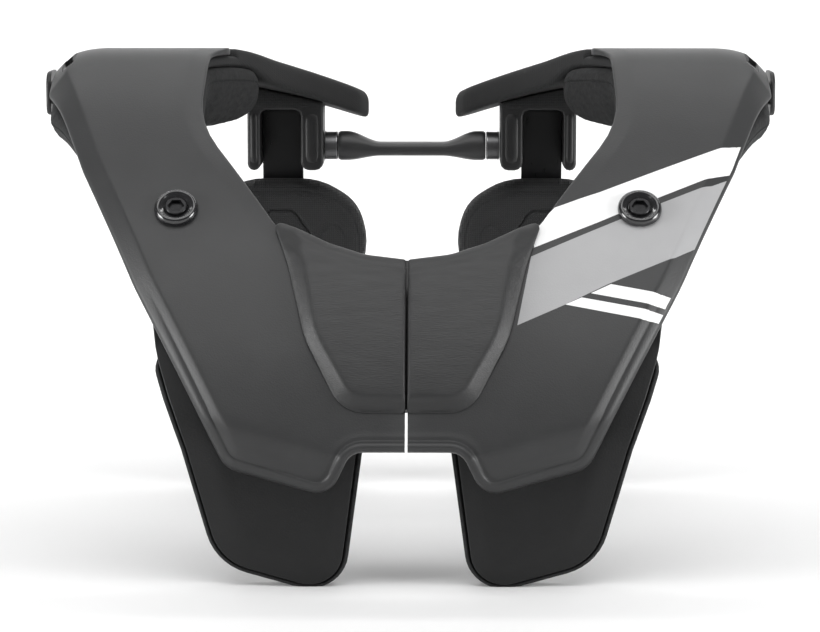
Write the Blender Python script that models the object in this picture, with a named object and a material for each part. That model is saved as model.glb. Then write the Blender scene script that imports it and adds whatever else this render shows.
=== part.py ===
"""Motocross neck brace that stands on its two chest pads and two back pads.

Metres, +Z up. The wearer looks along -Y, and -X is the left of a front view. Each half is
a set of flat blanks bent over one curve, the drape, which climbs the chest, goes over the
shoulder and falls to the back. A point of a blank is (x, t, h): t runs along the drape from
the chest hem, and h stands out from it.
"""
import math

import bmesh
import bpy
from mathutils import Matrix, Vector

# Overall sizes
HALF_SPAN = 0.150        # half the width over the shoulders, just past their pads
DRAPE_LENGTH = 0.300     # along the drape, from the chest hem to the rear tips
HEM_DROP = 0.0570        # how far the chest pads hang below the chest hem, along them
CENTRE_GAP = 0.0016      # between the two halves
CLEARANCE = 0.0003       # between pieces that touch
FOOT_FLAT = 0.0009       # what the floor takes off each rounded foot
DRAPE_STEP = 0.012       # length of one flat facet of a drape
FILLET_STEP = 0.006      # longest facet of a rounded corner
FILLET_TURN = 0.42       # finest turn of a rounded corner, in radians

# Walls and layers, from the outside in
SHELL_WALL = 0.003
SHELL_BAND = 0.0075      # width of the folded band along the shell's outer edge
SHELL_EDGE_WALL = 0.0016  # the shell thins to this at its edge
FRONT_PAD_RISE = 0.0042
FRAME_THICKNESS = 0.008
CHEST_PLATE_WALL = 0.0025
CHEST_FOAM_THICKNESS = 0.0095
CHEST_FOAM_RIM = 0.0026  # foam that shows round the chest plate
SHOULDER_PAD_THICKNESS = 0.015
SHOULDER_PAD_ROUNDS = (0.006, 0.003)  # rounding under and over its edge
EDGE_ROUND = 0.001       # rounding of a hard edge
SEAT_ROUND = 0.0004      # rounding of an edge that lies against another piece
FRONT_PAD_ROUND = 0.0032
FRAME_ROUND = 0.002
FOAM_ROUND = 0.004       # rounding of a foam edge
SOFT_ROUND = 0.0025      # smaller roundings are one plain chamfer

# Shoulder details
SLOT_WIDTH = 0.0042
SLOT_LENGTH = 0.018
SLOT_ROUND = 0.48        # corner radius, as a share of its width
SLOT_BAR = 0.0046        # what is left of the shell outside the slot
CLIP_WALL = 0.0020
CLIP_SEAT = 0.0012       # how far the clip's seat holds it off the shoulder pad
CLIP_RIM = 0.0045        # the clip's plate is this much wider than its seat, all round
CLIP_RISE = 0.0085       # the clip's top stands above the shoulder pad by this much
CLIP_HEIGHT = 0.018
CLIP_LENGTH = 0.024
CLIP_CORNERS = (0.004, 0.006)  # radii of its lower and upper corners
CLIP_ROUND = 0.0009

# Chest bolts
BOLT_RADIUS = 0.0085
BOLT_HEIGHT = 0.0026
SCREW_RADIUS = 0.0042
HEX_RADIUS = 0.0031
HEX_DEPTH = 0.0015
BOLT_SIDES = 18
BOLT_PROFILE = [
    # radius as a share of BOLT_RADIUS, height as a share of BOLT_HEIGHT
    (1.00, 0.00),
    (1.00, 0.45),
    (0.93, 0.88),
    (0.84, 1.00),
    (0.60, 0.55),
]
SCREW_PROFILE = [
    # radius as a share of SCREW_RADIUS, height as a share of BOLT_HEIGHT
    (1.00, 0.00),
    (1.00, 0.68),
    (0.92, 0.80),
]

# Front clasp, hidden behind the centre gap
CLASP_HALF_WIDTH = 0.0105
CLASP_THICKNESS = 0.007
CLASP_CORNER = 0.002
CLASP_ROUND = 0.0015

# Rear brackets, link bar and back supports
ARM_CENTRE = 0.057       # the back arms stand this far from the centre plane
ARM_WIDTH = 0.0172
ARM_WALL = 0.0025
ARM_ROUND = 0.0006
ARM_END = 0.5            # how far down the back plate the arm reaches, as a share of the plate
ARM_END_ROUND = 0.9      # corner radius of its end, as a share of half its width
OUTER_FIN = 0.0052
INNER_FIN = 0.0094
FIN_DEPTH = 0.024
FIN_HEIGHT = 0.0325
FIN_WEB = 0.0025
FIN_ROUND = 0.0022
WEB_ROUND = 0.001
SPACER_RADIUS = 0.006
SPACER_LENGTH = 0.0056
SPACER_CHAMFER = 0.0005
LINK_END_RADIUS = 0.0064
LINK_MID_HEIGHT = 0.0060
LINK_MID_DEPTH = 0.012
LINK_SQUARENESS = 0.62   # power of the middle's rounded section; 1 is an ellipse
LINK_SAG = 0.4           # the middle hangs by this share of what it is thinner than the ends
LINK_RISE = 0.0100       # the link bar's axis stands this far above the fins' lower ends
BACK_PAD_HALF_WIDTH = 0.0365
BACK_PAD_THICKNESS = 0.0105
BACK_PLATE_WALL = 0.0025
BACK_PAD_RIM = 0.0024    # foam that shows round the back plate
PAD_BELOW_FINS = 0.005   # from the fins' lower ends down to the back pads

# Angle of the drape from vertical, in degrees; along is a share of DRAPE_LENGTH
DRAPE_ANGLES = [
    # along, angle
    (0.000, 18.0),
    (0.150, 31.0),
    (0.267, 38.0),
    (0.343, 45.5),
    (0.617, 60.0),
    (0.707, 90.0),
    (0.777, 98.0),
]
# Behind the shoulders the drape also sinks towards the centre plane, as a collar does, and
# it sinks outwards over the shoulders' ends
COLLAR_SINKS = [
    # across (share of HALF_SPAN), sinking
    (0.560, 0.0000),
    (0.440, 0.0021),
    (0.330, 0.0055),
    (0.220, 0.0098),
    (0.100, 0.0152),
]
COLLAR_FADE = (0.740, 0.833)  # it comes in between these shares of DRAPE_LENGTH
SHOULDER_SINKS = [
    # across (share of HALF_SPAN), sinking
    (0.833, 0.0000),
    (0.900, 0.0010),
    (0.945, 0.0032),
    (0.985, 0.0065),
]
SHOULDER_FADE = (0.500, 0.620)
# The chest pads leave the drape here and hang almost straight down; along is a share of
# DRAPE_LENGTH above the hem and of HEM_DROP below it
CHEST_ANGLES = [
    # along, angle
    (-1.20, -3.0),
    (0.000, 4.0),
    (0.083, 25.2),
]
# Lean of the back supports, backwards as they go down; along is a share of their length
BACK_LEANS = [
    # along, angle
    (0.000, 12.0),
    (0.120, 12.0),
    (0.240, 8.0),
    (0.480, 0.0),
    (1.000, -4.0),
]

# Outlines: across is a share of HALF_SPAN and along one of DRAPE_LENGTH; corner is the
# radius of the corner, and drop how far the folded band falls there, both in metres
SHELL_OUTLINE = [
    # across, along, corner, drop
    (0.000, 0.260, 0.000, 0.0000),
    (0.110, 0.267, 0.025, 0.0000),
    (0.273, 0.300, 0.020, 0.0000),
    (0.337, 0.313, 0.012, 0.0004),
    (0.556, 0.503, 0.060, 0.0014),
    (0.547, 0.677, 0.022, 0.0014),
    (0.480, 0.753, 0.0085, 0.0000),
    (0.850, 0.800, 0.0085, 0.0000),
    (0.981, 0.713, 0.022, 0.0040),
    (0.983, 0.622, 0.014, 0.0060),
    (0.853, 0.420, 0.060, 0.0045),
    (0.697, 0.230, 0.150, 0.0032),
    (0.457, -0.013, 0.010, 0.0034),
    (0.193, -0.051, 0.009, 0.0034),
    (0.137, 0.002, 0.007, 0.0030),
    (0.000, 0.002, 0.000, 0.0026),
    (0.000, 0.030, 0.000, 0.0000),
]
FRONT_PAD_OUTLINE = [
    (0.000, 0.262, 0.000, 0.0),
    (0.110, 0.269, 0.025, 0.0),
    (0.277, 0.303, 0.020, 0.0),
    (0.349, 0.323, 0.0045, 0.0),
    (0.303, 0.250, 0.060, 0.0),
    (0.257, 0.147, 0.045, 0.0),
    (0.160, 0.051, 0.014, 0.0),
    (0.000, 0.050, 0.000, 0.0),
]
FRAME_OUTLINE = [
    (0.000, 0.250, 0.000, 0.0),
    (0.113, 0.257, 0.025, 0.0),
    (0.283, 0.290, 0.020, 0.0),
    (0.367, 0.310, 0.012, 0.0),
    (0.576, 0.503, 0.060, 0.0),
    (0.567, 0.672, 0.024, 0.0),
    (0.480, 0.757, 0.030, 0.0),
    (0.307, 0.853, 0.060, 0.0),
    (0.153, 0.923, 0.018, 0.0),
    (0.120, 0.958, 0.006, 0.0),
    (0.160, 0.983, 0.009, 0.0),
    (0.413, 0.969, 0.050, 0.0),
    (0.740, 0.877, 0.060, 0.0),
    (0.823, 0.798, 0.030, 0.0),
    (0.893, 0.690, 0.040, 0.0),
    (0.907, 0.580, 0.014, 0.0),
    (0.785, 0.420, 0.060, 0.0),
    (0.625, 0.230, 0.150, 0.0),
    (0.410, 0.022, 0.012, 0.0),
    (0.210, -0.014, 0.006, 0.0),
    (0.160, 0.038, 0.006, 0.0),
    (0.000, 0.038, 0.000, 0.0),
]
SHOULDER_PAD_OUTLINE = [
    (0.600, 0.455, 0.012, 0.0),
    (0.557, 0.515, 0.040, 0.0),
    (0.557, 0.677, 0.020, 0.0),
    (0.413, 0.795, 0.010, 0.0),
    (0.533, 0.868, 0.014, 0.0),
    (0.787, 0.820, 0.030, 0.0),
    (0.980, 0.713, 0.020, 0.0),
    (0.980, 0.592, 0.016, 0.0),
    (0.880, 0.490, 0.014, 0.0),
]
# The chest pads' rows below the hem have along as a share of HEM_DROP instead
CHEST_FOAM_OUTLINE = [
    (0.163, -1.044, 0.015, 0.0),
    (0.484, -0.800, 0.022, 0.0),
    (0.647, 0.135, 0.012, 0.0),
    (0.587, 0.177, 0.010, 0.0),
    (0.300, 0.187, 0.012, 0.0),
    (0.082, 0.113, 0.010, 0.0),
]
CHEST_ARM_OUTLINE = [
    # the arm that carries the chest plate, from the plate's top outer corner round to it
    (0.640, 0.155, 0.006, 0.0),
    (0.690, 0.345, 0.012, 0.0),
    (0.500, 0.385, 0.012, 0.0),
    (0.430, 0.190, 0.015, 0.0),
]
BOLT_PLACE = (0.596, 0.338)      # across, along
CLASP_SPAN = (0.065, 0.284)      # from and to, along; its tab stands past the frames
SLOT_PLACE = 0.672               # along
CLIP_PLACE = 0.722               # along
FIN_PLACE = 0.928                # along
LINK_SECTIONS = [
    # share of half its length, share of the way from the middle's size to the ends'
    (0.00, 0.00),
    (0.42, 0.02),
    (0.62, 0.25),
    (0.76, 0.72),
    (0.86, 0.96),
    (1.00, 1.00),
]
LINK_SIDES = 14
# Back pad outline: across is a share of BACK_PAD_HALF_WIDTH, along one of the pad's length
BACK_PAD_OUTLINE = [
    # across, along, corner
    (0.45, 0.000, 0.030),
    (0.90, 0.075, 0.020),
    (1.03, 0.190, 0.030),
    (0.50, 1.000, 0.015),
]

COLOURS = {
    # finish: colour, roughness, metallic
    "shell_black": ((0.065, 0.066, 0.068), 0.50, 0.0),
    "pad_leather": ((0.060, 0.061, 0.063), 0.58, 0.0),
    "frame_black": ((0.028, 0.029, 0.031), 0.60, 0.0),
    "foam_grey": ((0.035, 0.036, 0.038), 0.90, 0.0),
    "plate_black": ((0.018, 0.019, 0.021), 0.55, 0.0),
    "arm_gloss": ((0.010, 0.010, 0.011), 0.25, 0.0),
    "mesh_pad": ((0.030, 0.031, 0.034), 0.95, 0.0),
    "bolt_black": ((0.012, 0.012, 0.013), 0.15, 0.4),
    "spacer_metal": ((0.060, 0.060, 0.062), 0.35, 0.8),
    "link_rubber": ((0.020, 0.020, 0.022), 0.50, 0.0),
}


def bend_nodes(start, angles, low, high):
    """Points and normals of a bent curve every DRAPE_STEP or so, from t low to t high.

    start is its (y, z) at t = 0, and angles holds (t, angle from vertical) pairs.
    """
    def angle_at(t):
        if t <= angles[0][0]:
            return math.radians(angles[0][1])
        for (t0, a0), (t1, a1) in zip(angles, angles[1:]):
            if t <= t1:
                return math.radians(a0 + (a1 - a0) * (t - t0) / (t1 - t0))
        return math.radians(angles[-1][1])

    def walk(count, step):
        y, z = start
        out = []
        for i in range(count):
            middle = angle_at((i + 0.5) * step)
            y += math.sin(middle) * step
            z += math.cos(middle) * step
            out.append(((i + 1) * step, y, z))
        return out

    downward = walk(max(0, math.ceil(-low / DRAPE_STEP)), -DRAPE_STEP)
    upward = walk(max(0, math.ceil(high / DRAPE_STEP)), DRAPE_STEP)
    nodes = downward[::-1] + [(0.0, start[0], start[1])] + upward
    return [(t, y, z, angle_at(t)) for t, y, z in nodes]


def fade(t, span):
    """0 before span, which is in shares of DRAPE_LENGTH, and 1 after it."""
    low, high = (share * DRAPE_LENGTH for share in span)
    f = min(max((t - low) / (high - low), 0.0), 1.0)
    return f * f * (3 - 2 * f)


def sink_at(x, table):
    """Sinking at x, along straight lines between the rows of a table."""
    share = abs(x) / HALF_SPAN
    for (s0, d0), (s1, d1) in zip(table, table[1:]):
        f = (share - s0) / (s1 - s0)
        if f < 1:
            return d0 + (d1 - d0) * max(f, 0.0)
    return table[-1][1]


def sinking(x, t):
    """How far the main drape sinks, for the collar behind and the shoulders' ends."""
    return (sink_at(x, COLLAR_SINKS) * fade(t, COLLAR_FADE)
            + sink_at(x, SHOULDER_SINKS) * fade(t, SHOULDER_FADE))


class Drape:
    """A bent curve in the YZ plane; its blanks bend only at its nodes, so facets stay flat.

    sinks is a function of x and t that lowers the curve away from the middle. It makes a
    blank bend at creases too: their distances from the centre plane, and the t they start at.
    """

    def __init__(self, start, angles, low, high, sinks=None, creases=()):
        self.nodes = bend_nodes(start, angles, low, high)
        self.sinks = sinks
        self.creases = creases

    def segment(self, t):
        last = len(self.nodes) - 2
        for i in range(last):
            if t < self.nodes[i + 1][0]:
                return i
        return last

    def place(self, x, t, h=0.0):
        i = self.segment(t)
        t0, y0, z0, a0 = self.nodes[i]
        t1, y1, z1, a1 = self.nodes[i + 1]
        f = (t - t0) / (t1 - t0)
        low = (y0 - h * math.cos(a0), z0 + h * math.sin(a0))
        high = (y1 - h * math.cos(a1), z1 + h * math.sin(a1))
        z = low[1] + (high[1] - low[1]) * f
        if self.sinks:
            z -= self.sinks(x, t0) + (self.sinks(x, t1) - self.sinks(x, t0)) * f
        return Vector((x, low[0] + (high[0] - low[0]) * f, z))

    def tilt(self, t):
        """Angle from vertical of the facet that holds t."""
        i = self.segment(t)
        t0, y0, z0, _ = self.nodes[i]
        t1, y1, z1, _ = self.nodes[i + 1]
        return math.atan2((y1 - y0) / (t1 - t0), (z1 - z0) / (t1 - t0))

    def bends(self, low, high):
        return [t for t, _, _, _ in self.nodes if low < t < high]


def on_drape(across, along):
    """Place of an outline row: x on the left half, and t."""
    x = -max(across * HALF_SPAN, CENTRE_GAP / 2)
    return x, along * DRAPE_LENGTH


def on_chest(across, along):
    scale = DRAPE_LENGTH if along > 0 else HEM_DROP
    return -across * HALF_SPAN, along * scale


def corner_rows(table, where):
    rows = []
    for row in table:
        x, t = where(row[0], row[1])
        rows.append((x, t, row[2], row[3]))
    return rows


def fillet_ring(rows, inset):
    """Loop of (x, t, drop) points along rows of (x, t, corner, drop), moved inwards by inset.

    Every inset gives the same number of points, so two loops can be joined point to point.
    """
    count = len(rows)
    points = [Vector(row[:2]) for row in rows]
    area = sum(points[i - 1].cross(points[i]) for i in range(count))
    side = 1.0 if area > 0 else -1.0
    ways = [(points[(i + 1) % count] - points[i]).normalized() for i in range(count)]
    inward = [Vector((-way.y, way.x)) * side for way in ways]
    moved, turns, radii = [], [], []
    for i in range(count):
        before, after = ways[i - 1], ways[i]
        turn = math.atan2(before.cross(after), before.dot(after))
        half = math.tan(turn / 2 * side)
        moved.append(points[i] + inward[i] * inset - after * (-half) * inset)
        turns.append(turn)
        convex = turn * side > 0
        radius = rows[i][2] - inset if convex else rows[i][2] + inset
        radii.append(max(radius, 0.0) if rows[i][2] > 0 else 0.0)
    reach = [abs(math.tan(turns[i] / 2)) for i in range(count)]
    for _ in range(3):
        for i in range(count):
            k = (i + 1) % count
            edge = (moved[k] - moved[i]).length * 0.98
            need = radii[i] * reach[i] + radii[k] * reach[k]
            if need > edge:
                radii[i] *= edge / need
                radii[k] *= edge / need
    ring = []
    for i in range(count):
        steps = max(1, math.ceil(abs(turns[i]) * rows[i][2] / FILLET_STEP))
        steps = min(steps, max(2, math.ceil(abs(turns[i]) / FILLET_TURN)))
        if rows[i][2] == 0:
            ring.append((moved[i].x, moved[i].y, rows[i][3]))
            continue
        start = moved[i] - ways[i - 1] * radii[i] * reach[i]
        bow = 1.0 if turns[i] * side > 0 else -1.0
        centre = start + inward[i - 1] * radii[i] * bow
        for k in range(steps + 1):
            spoke = (start - centre).copy()
            spoke.rotate(Matrix.Rotation(turns[i] * k / steps, 2))
            ring.append(((centre + spoke).x, (centre + spoke).y, rows[i][3]))
    return ring


def rounded_levels(low, high, low_round, high_round):
    """(inset, h) pairs of a slab's loops, from its lower face round its edge to the upper."""
    levels = []
    steps = 1 if low_round < SOFT_ROUND else 2
    for k in range(steps + 1):
        a = math.radians(90 * k / steps)
        levels.append((low_round * (1 - math.sin(a)), low + low_round * (1 - math.cos(a))))
    steps = 1 if high_round < SOFT_ROUND else 2
    for k in range(steps + 1):
        a = math.radians(90 * k / steps)
        levels.append((high_round * (1 - math.cos(a)), high - high_round * (1 - math.sin(a))))
    return levels


def loft(loops):
    """Closed body through loops with equal numbers of points, capped at both ends."""
    bm = bmesh.new()
    rings = [[bm.verts.new(point) for point in loop] for loop in loops]
    for low, high in zip(rings, rings[1:]):
        for i in range(len(low)):
            k = (i + 1) % len(low)
            bm.faces.new((low[i], low[k], high[k], high[i]))
    bm.faces.new(rings[0][::-1])
    bm.faces.new(rings[-1])
    bmesh.ops.recalc_face_normals(bm, faces=bm.faces[:])
    return bm


def slab(rows, levels):
    """Flat blank: one loop of the outline for each (inset, h) level."""
    loops = []
    for inset, h in levels:
        loops.append([(x, t, h) for x, t, _ in fillet_ring(rows, inset)])
    return loft(loops)


def cut_across(bm, place, direction, low=-math.inf):
    """Cut a blank's edges and faces that lie past t = low."""
    faces = [f for f in bm.faces if max(v.co.y for v in f.verts) > low]
    edges = {e for f in faces for e in f.edges}
    verts = {v for f in faces for v in f.verts}
    bmesh.ops.bisect_plane(bm, geom=list(verts) + list(edges) + faces, dist=2e-5,
                           plane_co=place, plane_no=direction)


def bend(bm, drape):
    """Cut a blank at the drape's bends and lay it over the drape."""
    span = [v.co.y for v in bm.verts]
    for t in drape.bends(min(span), max(span)):
        cut_across(bm, (0, t, 0), (0, 1, 0))
    for x, start in drape.creases:
        cut_across(bm, (-x, 0, 0), (1, 0, 0), start)
    bmesh.ops.triangulate(bm, faces=bm.faces[:])
    for v in bm.verts:
        v.co = drape.place(v.co.x, v.co.y, v.co.z)


def cut_foot(bm, floor):
    """Small flat under a foot, where it meets the floor."""
    made = bmesh.ops.bisect_plane(bm, geom=bm.verts[:] + bm.edges[:] + bm.faces[:], dist=1e-6,
                                  plane_co=(0, 0, floor), plane_no=(0, 0, -1), clear_outer=True)
    rim = [e for e in made["geom_cut"] if isinstance(e, bmesh.types.BMEdge)]
    bmesh.ops.holes_fill(bm, edges=rim)
    bmesh.ops.triangulate(bm, faces=bm.faces[:])


def finish_material(name):
    colour, roughness, metallic = COLOURS[name]
    made = bpy.data.materials.get(name) or bpy.data.materials.new(name)
    made.use_nodes = True
    shader = made.node_tree.nodes["Principled BSDF"]
    shader.inputs["Base Color"].default_value = (*colour, 1.0)
    shader.inputs["Roughness"].default_value = roughness
    shader.inputs["Metallic"].default_value = metallic
    made.diffuse_color = (*colour, 1.0)
    return made


def add_object(name, bm, finish, parent, location=(0, 0, 0), turn=None):
    mesh = bpy.data.meshes.new(name)
    bm.to_mesh(mesh)
    bm.free()
    mesh.shade_smooth()
    mesh.set_sharp_from_angle(angle=math.radians(32))
    mesh.materials.append(finish_material(finish))
    made = bpy.data.objects.new(name, mesh)
    bpy.context.collection.objects.link(made)
    made.parent = parent
    made.location = location
    if turn:
        made.rotation_euler = turn
    return made


def add_pair(name, bm, finish, parent):
    """The left piece as modelled, and its mirror image on the right."""
    twin = bm.copy()
    for v in twin.verts:
        v.co.x = -v.co.x
    bmesh.ops.reverse_faces(twin, faces=twin.faces[:])
    left = add_object(name + "_left", bm, finish, parent)
    right = add_object(name + "_right", twin, finish, parent)
    return left, right


# The layers' heights over the drape
FRAME_TOP = -(SHELL_WALL + CLEARANCE)
FRAME_BOTTOM = FRAME_TOP - FRAME_THICKNESS
UNDER_FRAME = FRAME_BOTTOM - CLEARANCE
CHEST_PLATE_BOTTOM = UNDER_FRAME - CHEST_PLATE_WALL


def front_shell(drape):
    rows = corner_rows(SHELL_OUTLINE, on_drape)
    edge = fillet_ring(rows, 0.0)
    soft = fillet_ring(rows, EDGE_ROUND)
    inner = fillet_ring(rows, SHELL_BAND)
    loops = [
        [(x, t, -SHELL_WALL) for x, t, _ in inner],
        [(x, t, -max(SHELL_WALL, SHELL_EDGE_WALL + drop)) for x, t, drop in edge],
        [(x, t, -EDGE_ROUND - drop) for x, t, drop in edge],
        [(x, t, -drop * (1 - EDGE_ROUND / SHELL_BAND)) for x, t, drop in soft],
        [(x, t, 0.0) for x, t, _ in inner],
    ]
    bm = loft(loops)
    bend(bm, drape)
    return bm


def slot_cutter(name, side, drape, parent):
    """Cutter for the strap slot at the shell's outer corner; it never shows."""
    x = side * (SHELL_OUTLINE[8][0] * HALF_SPAN - SLOT_BAR - SLOT_WIDTH / 2)
    t = SLOT_PLACE * DRAPE_LENGTH
    half_x, half_t = SLOT_WIDTH / 2, SLOT_LENGTH / 2
    corners = [(-half_x, -half_t), (half_x, -half_t), (half_x, half_t), (-half_x, half_t)]
    rows = [(px, pt, SLOT_ROUND * SLOT_WIDTH, 0.0) for px, pt in corners]
    bm = slab(rows, [(0, -4 * SHELL_WALL), (0, 2 * SHELL_WALL)])
    tilt = drape.tilt(t)
    made = add_object(name, bm, "frame_black", parent, drape.place(x, t),
                      (math.pi / 2 - tilt, 0, 0))
    made.hide_render = True
    made.display_type = "WIRE"
    return made


def cut_slot(shell, cutter):
    cut = shell.modifiers.new("strap_slot", "BOOLEAN")
    cut.operation = "DIFFERENCE"
    cut.object = cutter


def front_pad(drape):
    rows = corner_rows(FRONT_PAD_OUTLINE, on_drape)
    levels = rounded_levels(CLEARANCE, CLEARANCE + FRONT_PAD_RISE, SEAT_ROUND, FRONT_PAD_ROUND)
    bm = slab(rows, levels)
    bend(bm, drape)
    return bm


def shell_end():
    """Line of the shell's rear edge over the shoulder: a point, and its direction."""
    inner = Vector(on_drape(*SHELL_OUTLINE[6][:2]))
    outer = Vector(on_drape(*SHELL_OUTLINE[7][:2]))
    return inner, (outer - inner).normalized()


def frame(drape):
    """Moulded frame: under the shell on the chest, and bare from the shell's end backwards."""
    rows = corner_rows(FRAME_OUTLINE, on_drape)
    levels = rounded_levels(FRAME_BOTTOM, FRAME_TOP, FRAME_ROUND, FRAME_ROUND)
    bm = slab(rows, levels)
    point, way = shell_end()
    back = Vector((way.y, -way.x))
    if back.y < 0:
        back = -back
    for step in (CLEARANCE, 4 * CLEARANCE):
        place = point + back * step
        cut_across(bm, (place.x, place.y, 0), (back.x, back.y, 0))
    level = (FRAME_TOP + FRAME_BOTTOM) / 2
    for v in bm.verts:
        behind = (Vector(v.co.xy) - point).dot(back)
        if behind > 2 * CLEARANCE and v.co.z > level:
            v.co.z -= FRAME_TOP
    bend(bm, drape)
    return bm


def shoulder_pad(drape):
    rows = corner_rows(SHOULDER_PAD_OUTLINE, on_drape)
    levels = rounded_levels(UNDER_FRAME - SHOULDER_PAD_THICKNESS, UNDER_FRAME,
                            *SHOULDER_PAD_ROUNDS)
    bm = slab(rows, levels)
    bend(bm, drape)
    return bm


def chest_foam(drape, floor):
    rows = corner_rows(CHEST_FOAM_OUTLINE, on_chest)
    top = CHEST_PLATE_BOTTOM - CLEARANCE
    levels = rounded_levels(top - CHEST_FOAM_THICKNESS, top, FOAM_ROUND, EDGE_ROUND)
    bm = slab(rows, levels)
    bend(bm, drape)
    cut_foot(bm, floor)
    return bm


def chest_plate(drape):
    """Plate on the chest foam, with the arm that the chest bolt holds."""
    foam = corner_rows(CHEST_FOAM_OUTLINE, on_chest)
    arm = corner_rows(CHEST_ARM_OUTLINE, on_chest)
    rows = inset_rows(foam, CHEST_FOAM_RIM)
    rows = rows[:3] + arm + rows[4:]
    levels = rounded_levels(CHEST_PLATE_BOTTOM, UNDER_FRAME, SEAT_ROUND, EDGE_ROUND)
    bm = slab(rows, levels)
    bend(bm, drape)
    return bm


def inset_rows(rows, inset):
    """Rows of an outline moved inwards, with their corners' radii to match."""
    count = len(rows)
    sharp = [(x, t, 0.0, drop) for x, t, _, drop in rows]
    ring = fillet_ring(sharp, inset)
    return [(ring[i][0], ring[i][1], max(rows[i][2] - inset, inset), ring[i][2])
            for i in range(count)]


def turned(profile, sides):
    """Loops of a turned piece round Z, from (radius, z) pairs."""
    loops = []
    for radius, z in profile:
        spokes = [2 * math.pi * k / sides for k in range(sides)]
        loops.append([(radius * math.cos(a), radius * math.sin(a), z) for a in spokes])
    return loops


def ring_body(loops):
    """Closed body through loops whose last joins the first, such as a washer."""
    bm = bmesh.new()
    rings = [[bm.verts.new(point) for point in loop] for loop in loops]
    for n in range(len(rings)):
        low, high = rings[n - 1], rings[n]
        for i in range(len(low)):
            k = (i + 1) % len(low)
            bm.faces.new((low[i], low[k], high[k], high[i]))
    bmesh.ops.recalc_face_normals(bm, faces=bm.faces[:])
    bmesh.ops.triangulate(bm, faces=bm.faces[:])
    return bm


def bolt_cap():
    hole = SCREW_RADIUS + CLEARANCE
    profile = [(share * BOLT_RADIUS, rise * BOLT_HEIGHT) for share, rise in BOLT_PROFILE]
    dish = profile[-1][1]
    return ring_body(turned([(hole, 0.0)] + profile + [(hole, dish)], BOLT_SIDES))


def bolt_screw():
    """Socket head in the cap's hole, with a hexagonal recess."""
    def hexagon(z):
        points = []
        for k in range(BOLT_SIDES):
            a = 2 * math.pi * k / BOLT_SIDES
            wedge = (a % (math.pi / 3)) - math.pi / 6
            r = HEX_RADIUS * math.cos(math.pi / 6) / math.cos(wedge)
            points.append((r * math.cos(a), r * math.sin(a), z))
        return points

    profile = [(share * SCREW_RADIUS, rise * BOLT_HEIGHT) for share, rise in SCREW_PROFILE]
    head = profile[-1][1]
    loops = turned(profile, BOLT_SIDES) + [hexagon(head), hexagon(head - HEX_DEPTH)]
    bm = loft(loops)
    bmesh.ops.triangulate(bm, faces=bm.faces[:])
    return bm


def add_bolts(drape, parent):
    across, along = BOLT_PLACE
    x, t = on_drape(across, along)
    tilt = drape.tilt(t)
    for side, word in ((1, "left"), (-1, "right")):
        place = drape.place(side * x, t, CLEARANCE)
        turn = (math.pi / 2 - tilt, 0, 0)
        add_object("bolt_cap_" + word, bolt_cap(), "bolt_black", parent, place, turn)
        add_object("bolt_screw_" + word, bolt_screw(), "bolt_black", parent, place, turn)


def front_clasp(drape):
    low, high = (share * DRAPE_LENGTH for share in CLASP_SPAN)
    half = CLASP_HALF_WIDTH
    corners = ((-half, low), (half, low), (half, high), (-half, high))
    rows = [(x, t, CLASP_CORNER, 0.0) for x, t in corners]
    levels = rounded_levels(UNDER_FRAME - CLASP_THICKNESS, UNDER_FRAME, CLASP_ROUND, SEAT_ROUND)
    bm = slab(rows, levels)
    bend(bm, drape)
    return bm


def side_clip(drape):
    """Plate on the outside of the shoulder pad, in the YZ plane."""
    seat = SHOULDER_PAD_OUTLINE[6][0] * HALF_SPAN + CLEARANCE
    middle = drape.place(-seat, CLIP_PLACE * DRAPE_LENGTH, UNDER_FRAME)
    top = middle.z + CLIP_RISE
    low_y, high_y = middle.y - CLIP_LENGTH / 2, middle.y + CLIP_LENGTH / 2
    bottom = top - CLIP_HEIGHT
    low_corner, high_corner = CLIP_CORNERS
    rows = [(low_y, bottom, low_corner, 0.0), (high_y, bottom, low_corner, 0.0),
            (high_y, top, high_corner, 0.0), (low_y, top, high_corner, 0.0)]
    levels = [(CLIP_RIM, 0.0), (CLIP_RIM, CLIP_SEAT)]
    levels += rounded_levels(CLIP_SEAT, CLIP_SEAT + CLIP_WALL, SEAT_ROUND, CLIP_ROUND)
    bm = slab(rows, levels)
    for v in bm.verts:
        y, z, out = v.co
        v.co = (-(seat + out), y, z)
    bmesh.ops.reverse_faces(bm, faces=bm.faces[:])
    bmesh.ops.triangulate(bm, faces=bm.faces[:])
    return bm


class Rear:
    """Heights and depths that the rear pieces share, from the frame's underside."""

    def __init__(self, drape):
        middle = drape.place(-ARM_CENTRE, FIN_PLACE * DRAPE_LENGTH, UNDER_FRAME)
        tilt = drape.tilt(FIN_PLACE * DRAPE_LENGTH)
        self.y = middle.y
        self.top = middle.z
        self.slope = math.cos(tilt) / math.sin(tilt)
        gap_end = ARM_CENTRE - ARM_WIDTH / 2 - 2 * CLEARANCE
        self.web = self.underside(-gap_end, self.y + FIN_DEPTH / 2) - FIN_WEB
        self.bottom = self.top - FIN_HEIGHT
        self.link_z = self.bottom + LINK_RISE
        self.inner = ARM_CENTRE - ARM_WIDTH / 2 - 2 * CLEARANCE - INNER_FIN

    def underside(self, x, y):
        collar = sink_at(x, COLLAR_SINKS) - sink_at(ARM_CENTRE, COLLAR_SINKS)
        return self.top + (y - self.y) * self.slope - collar


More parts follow.
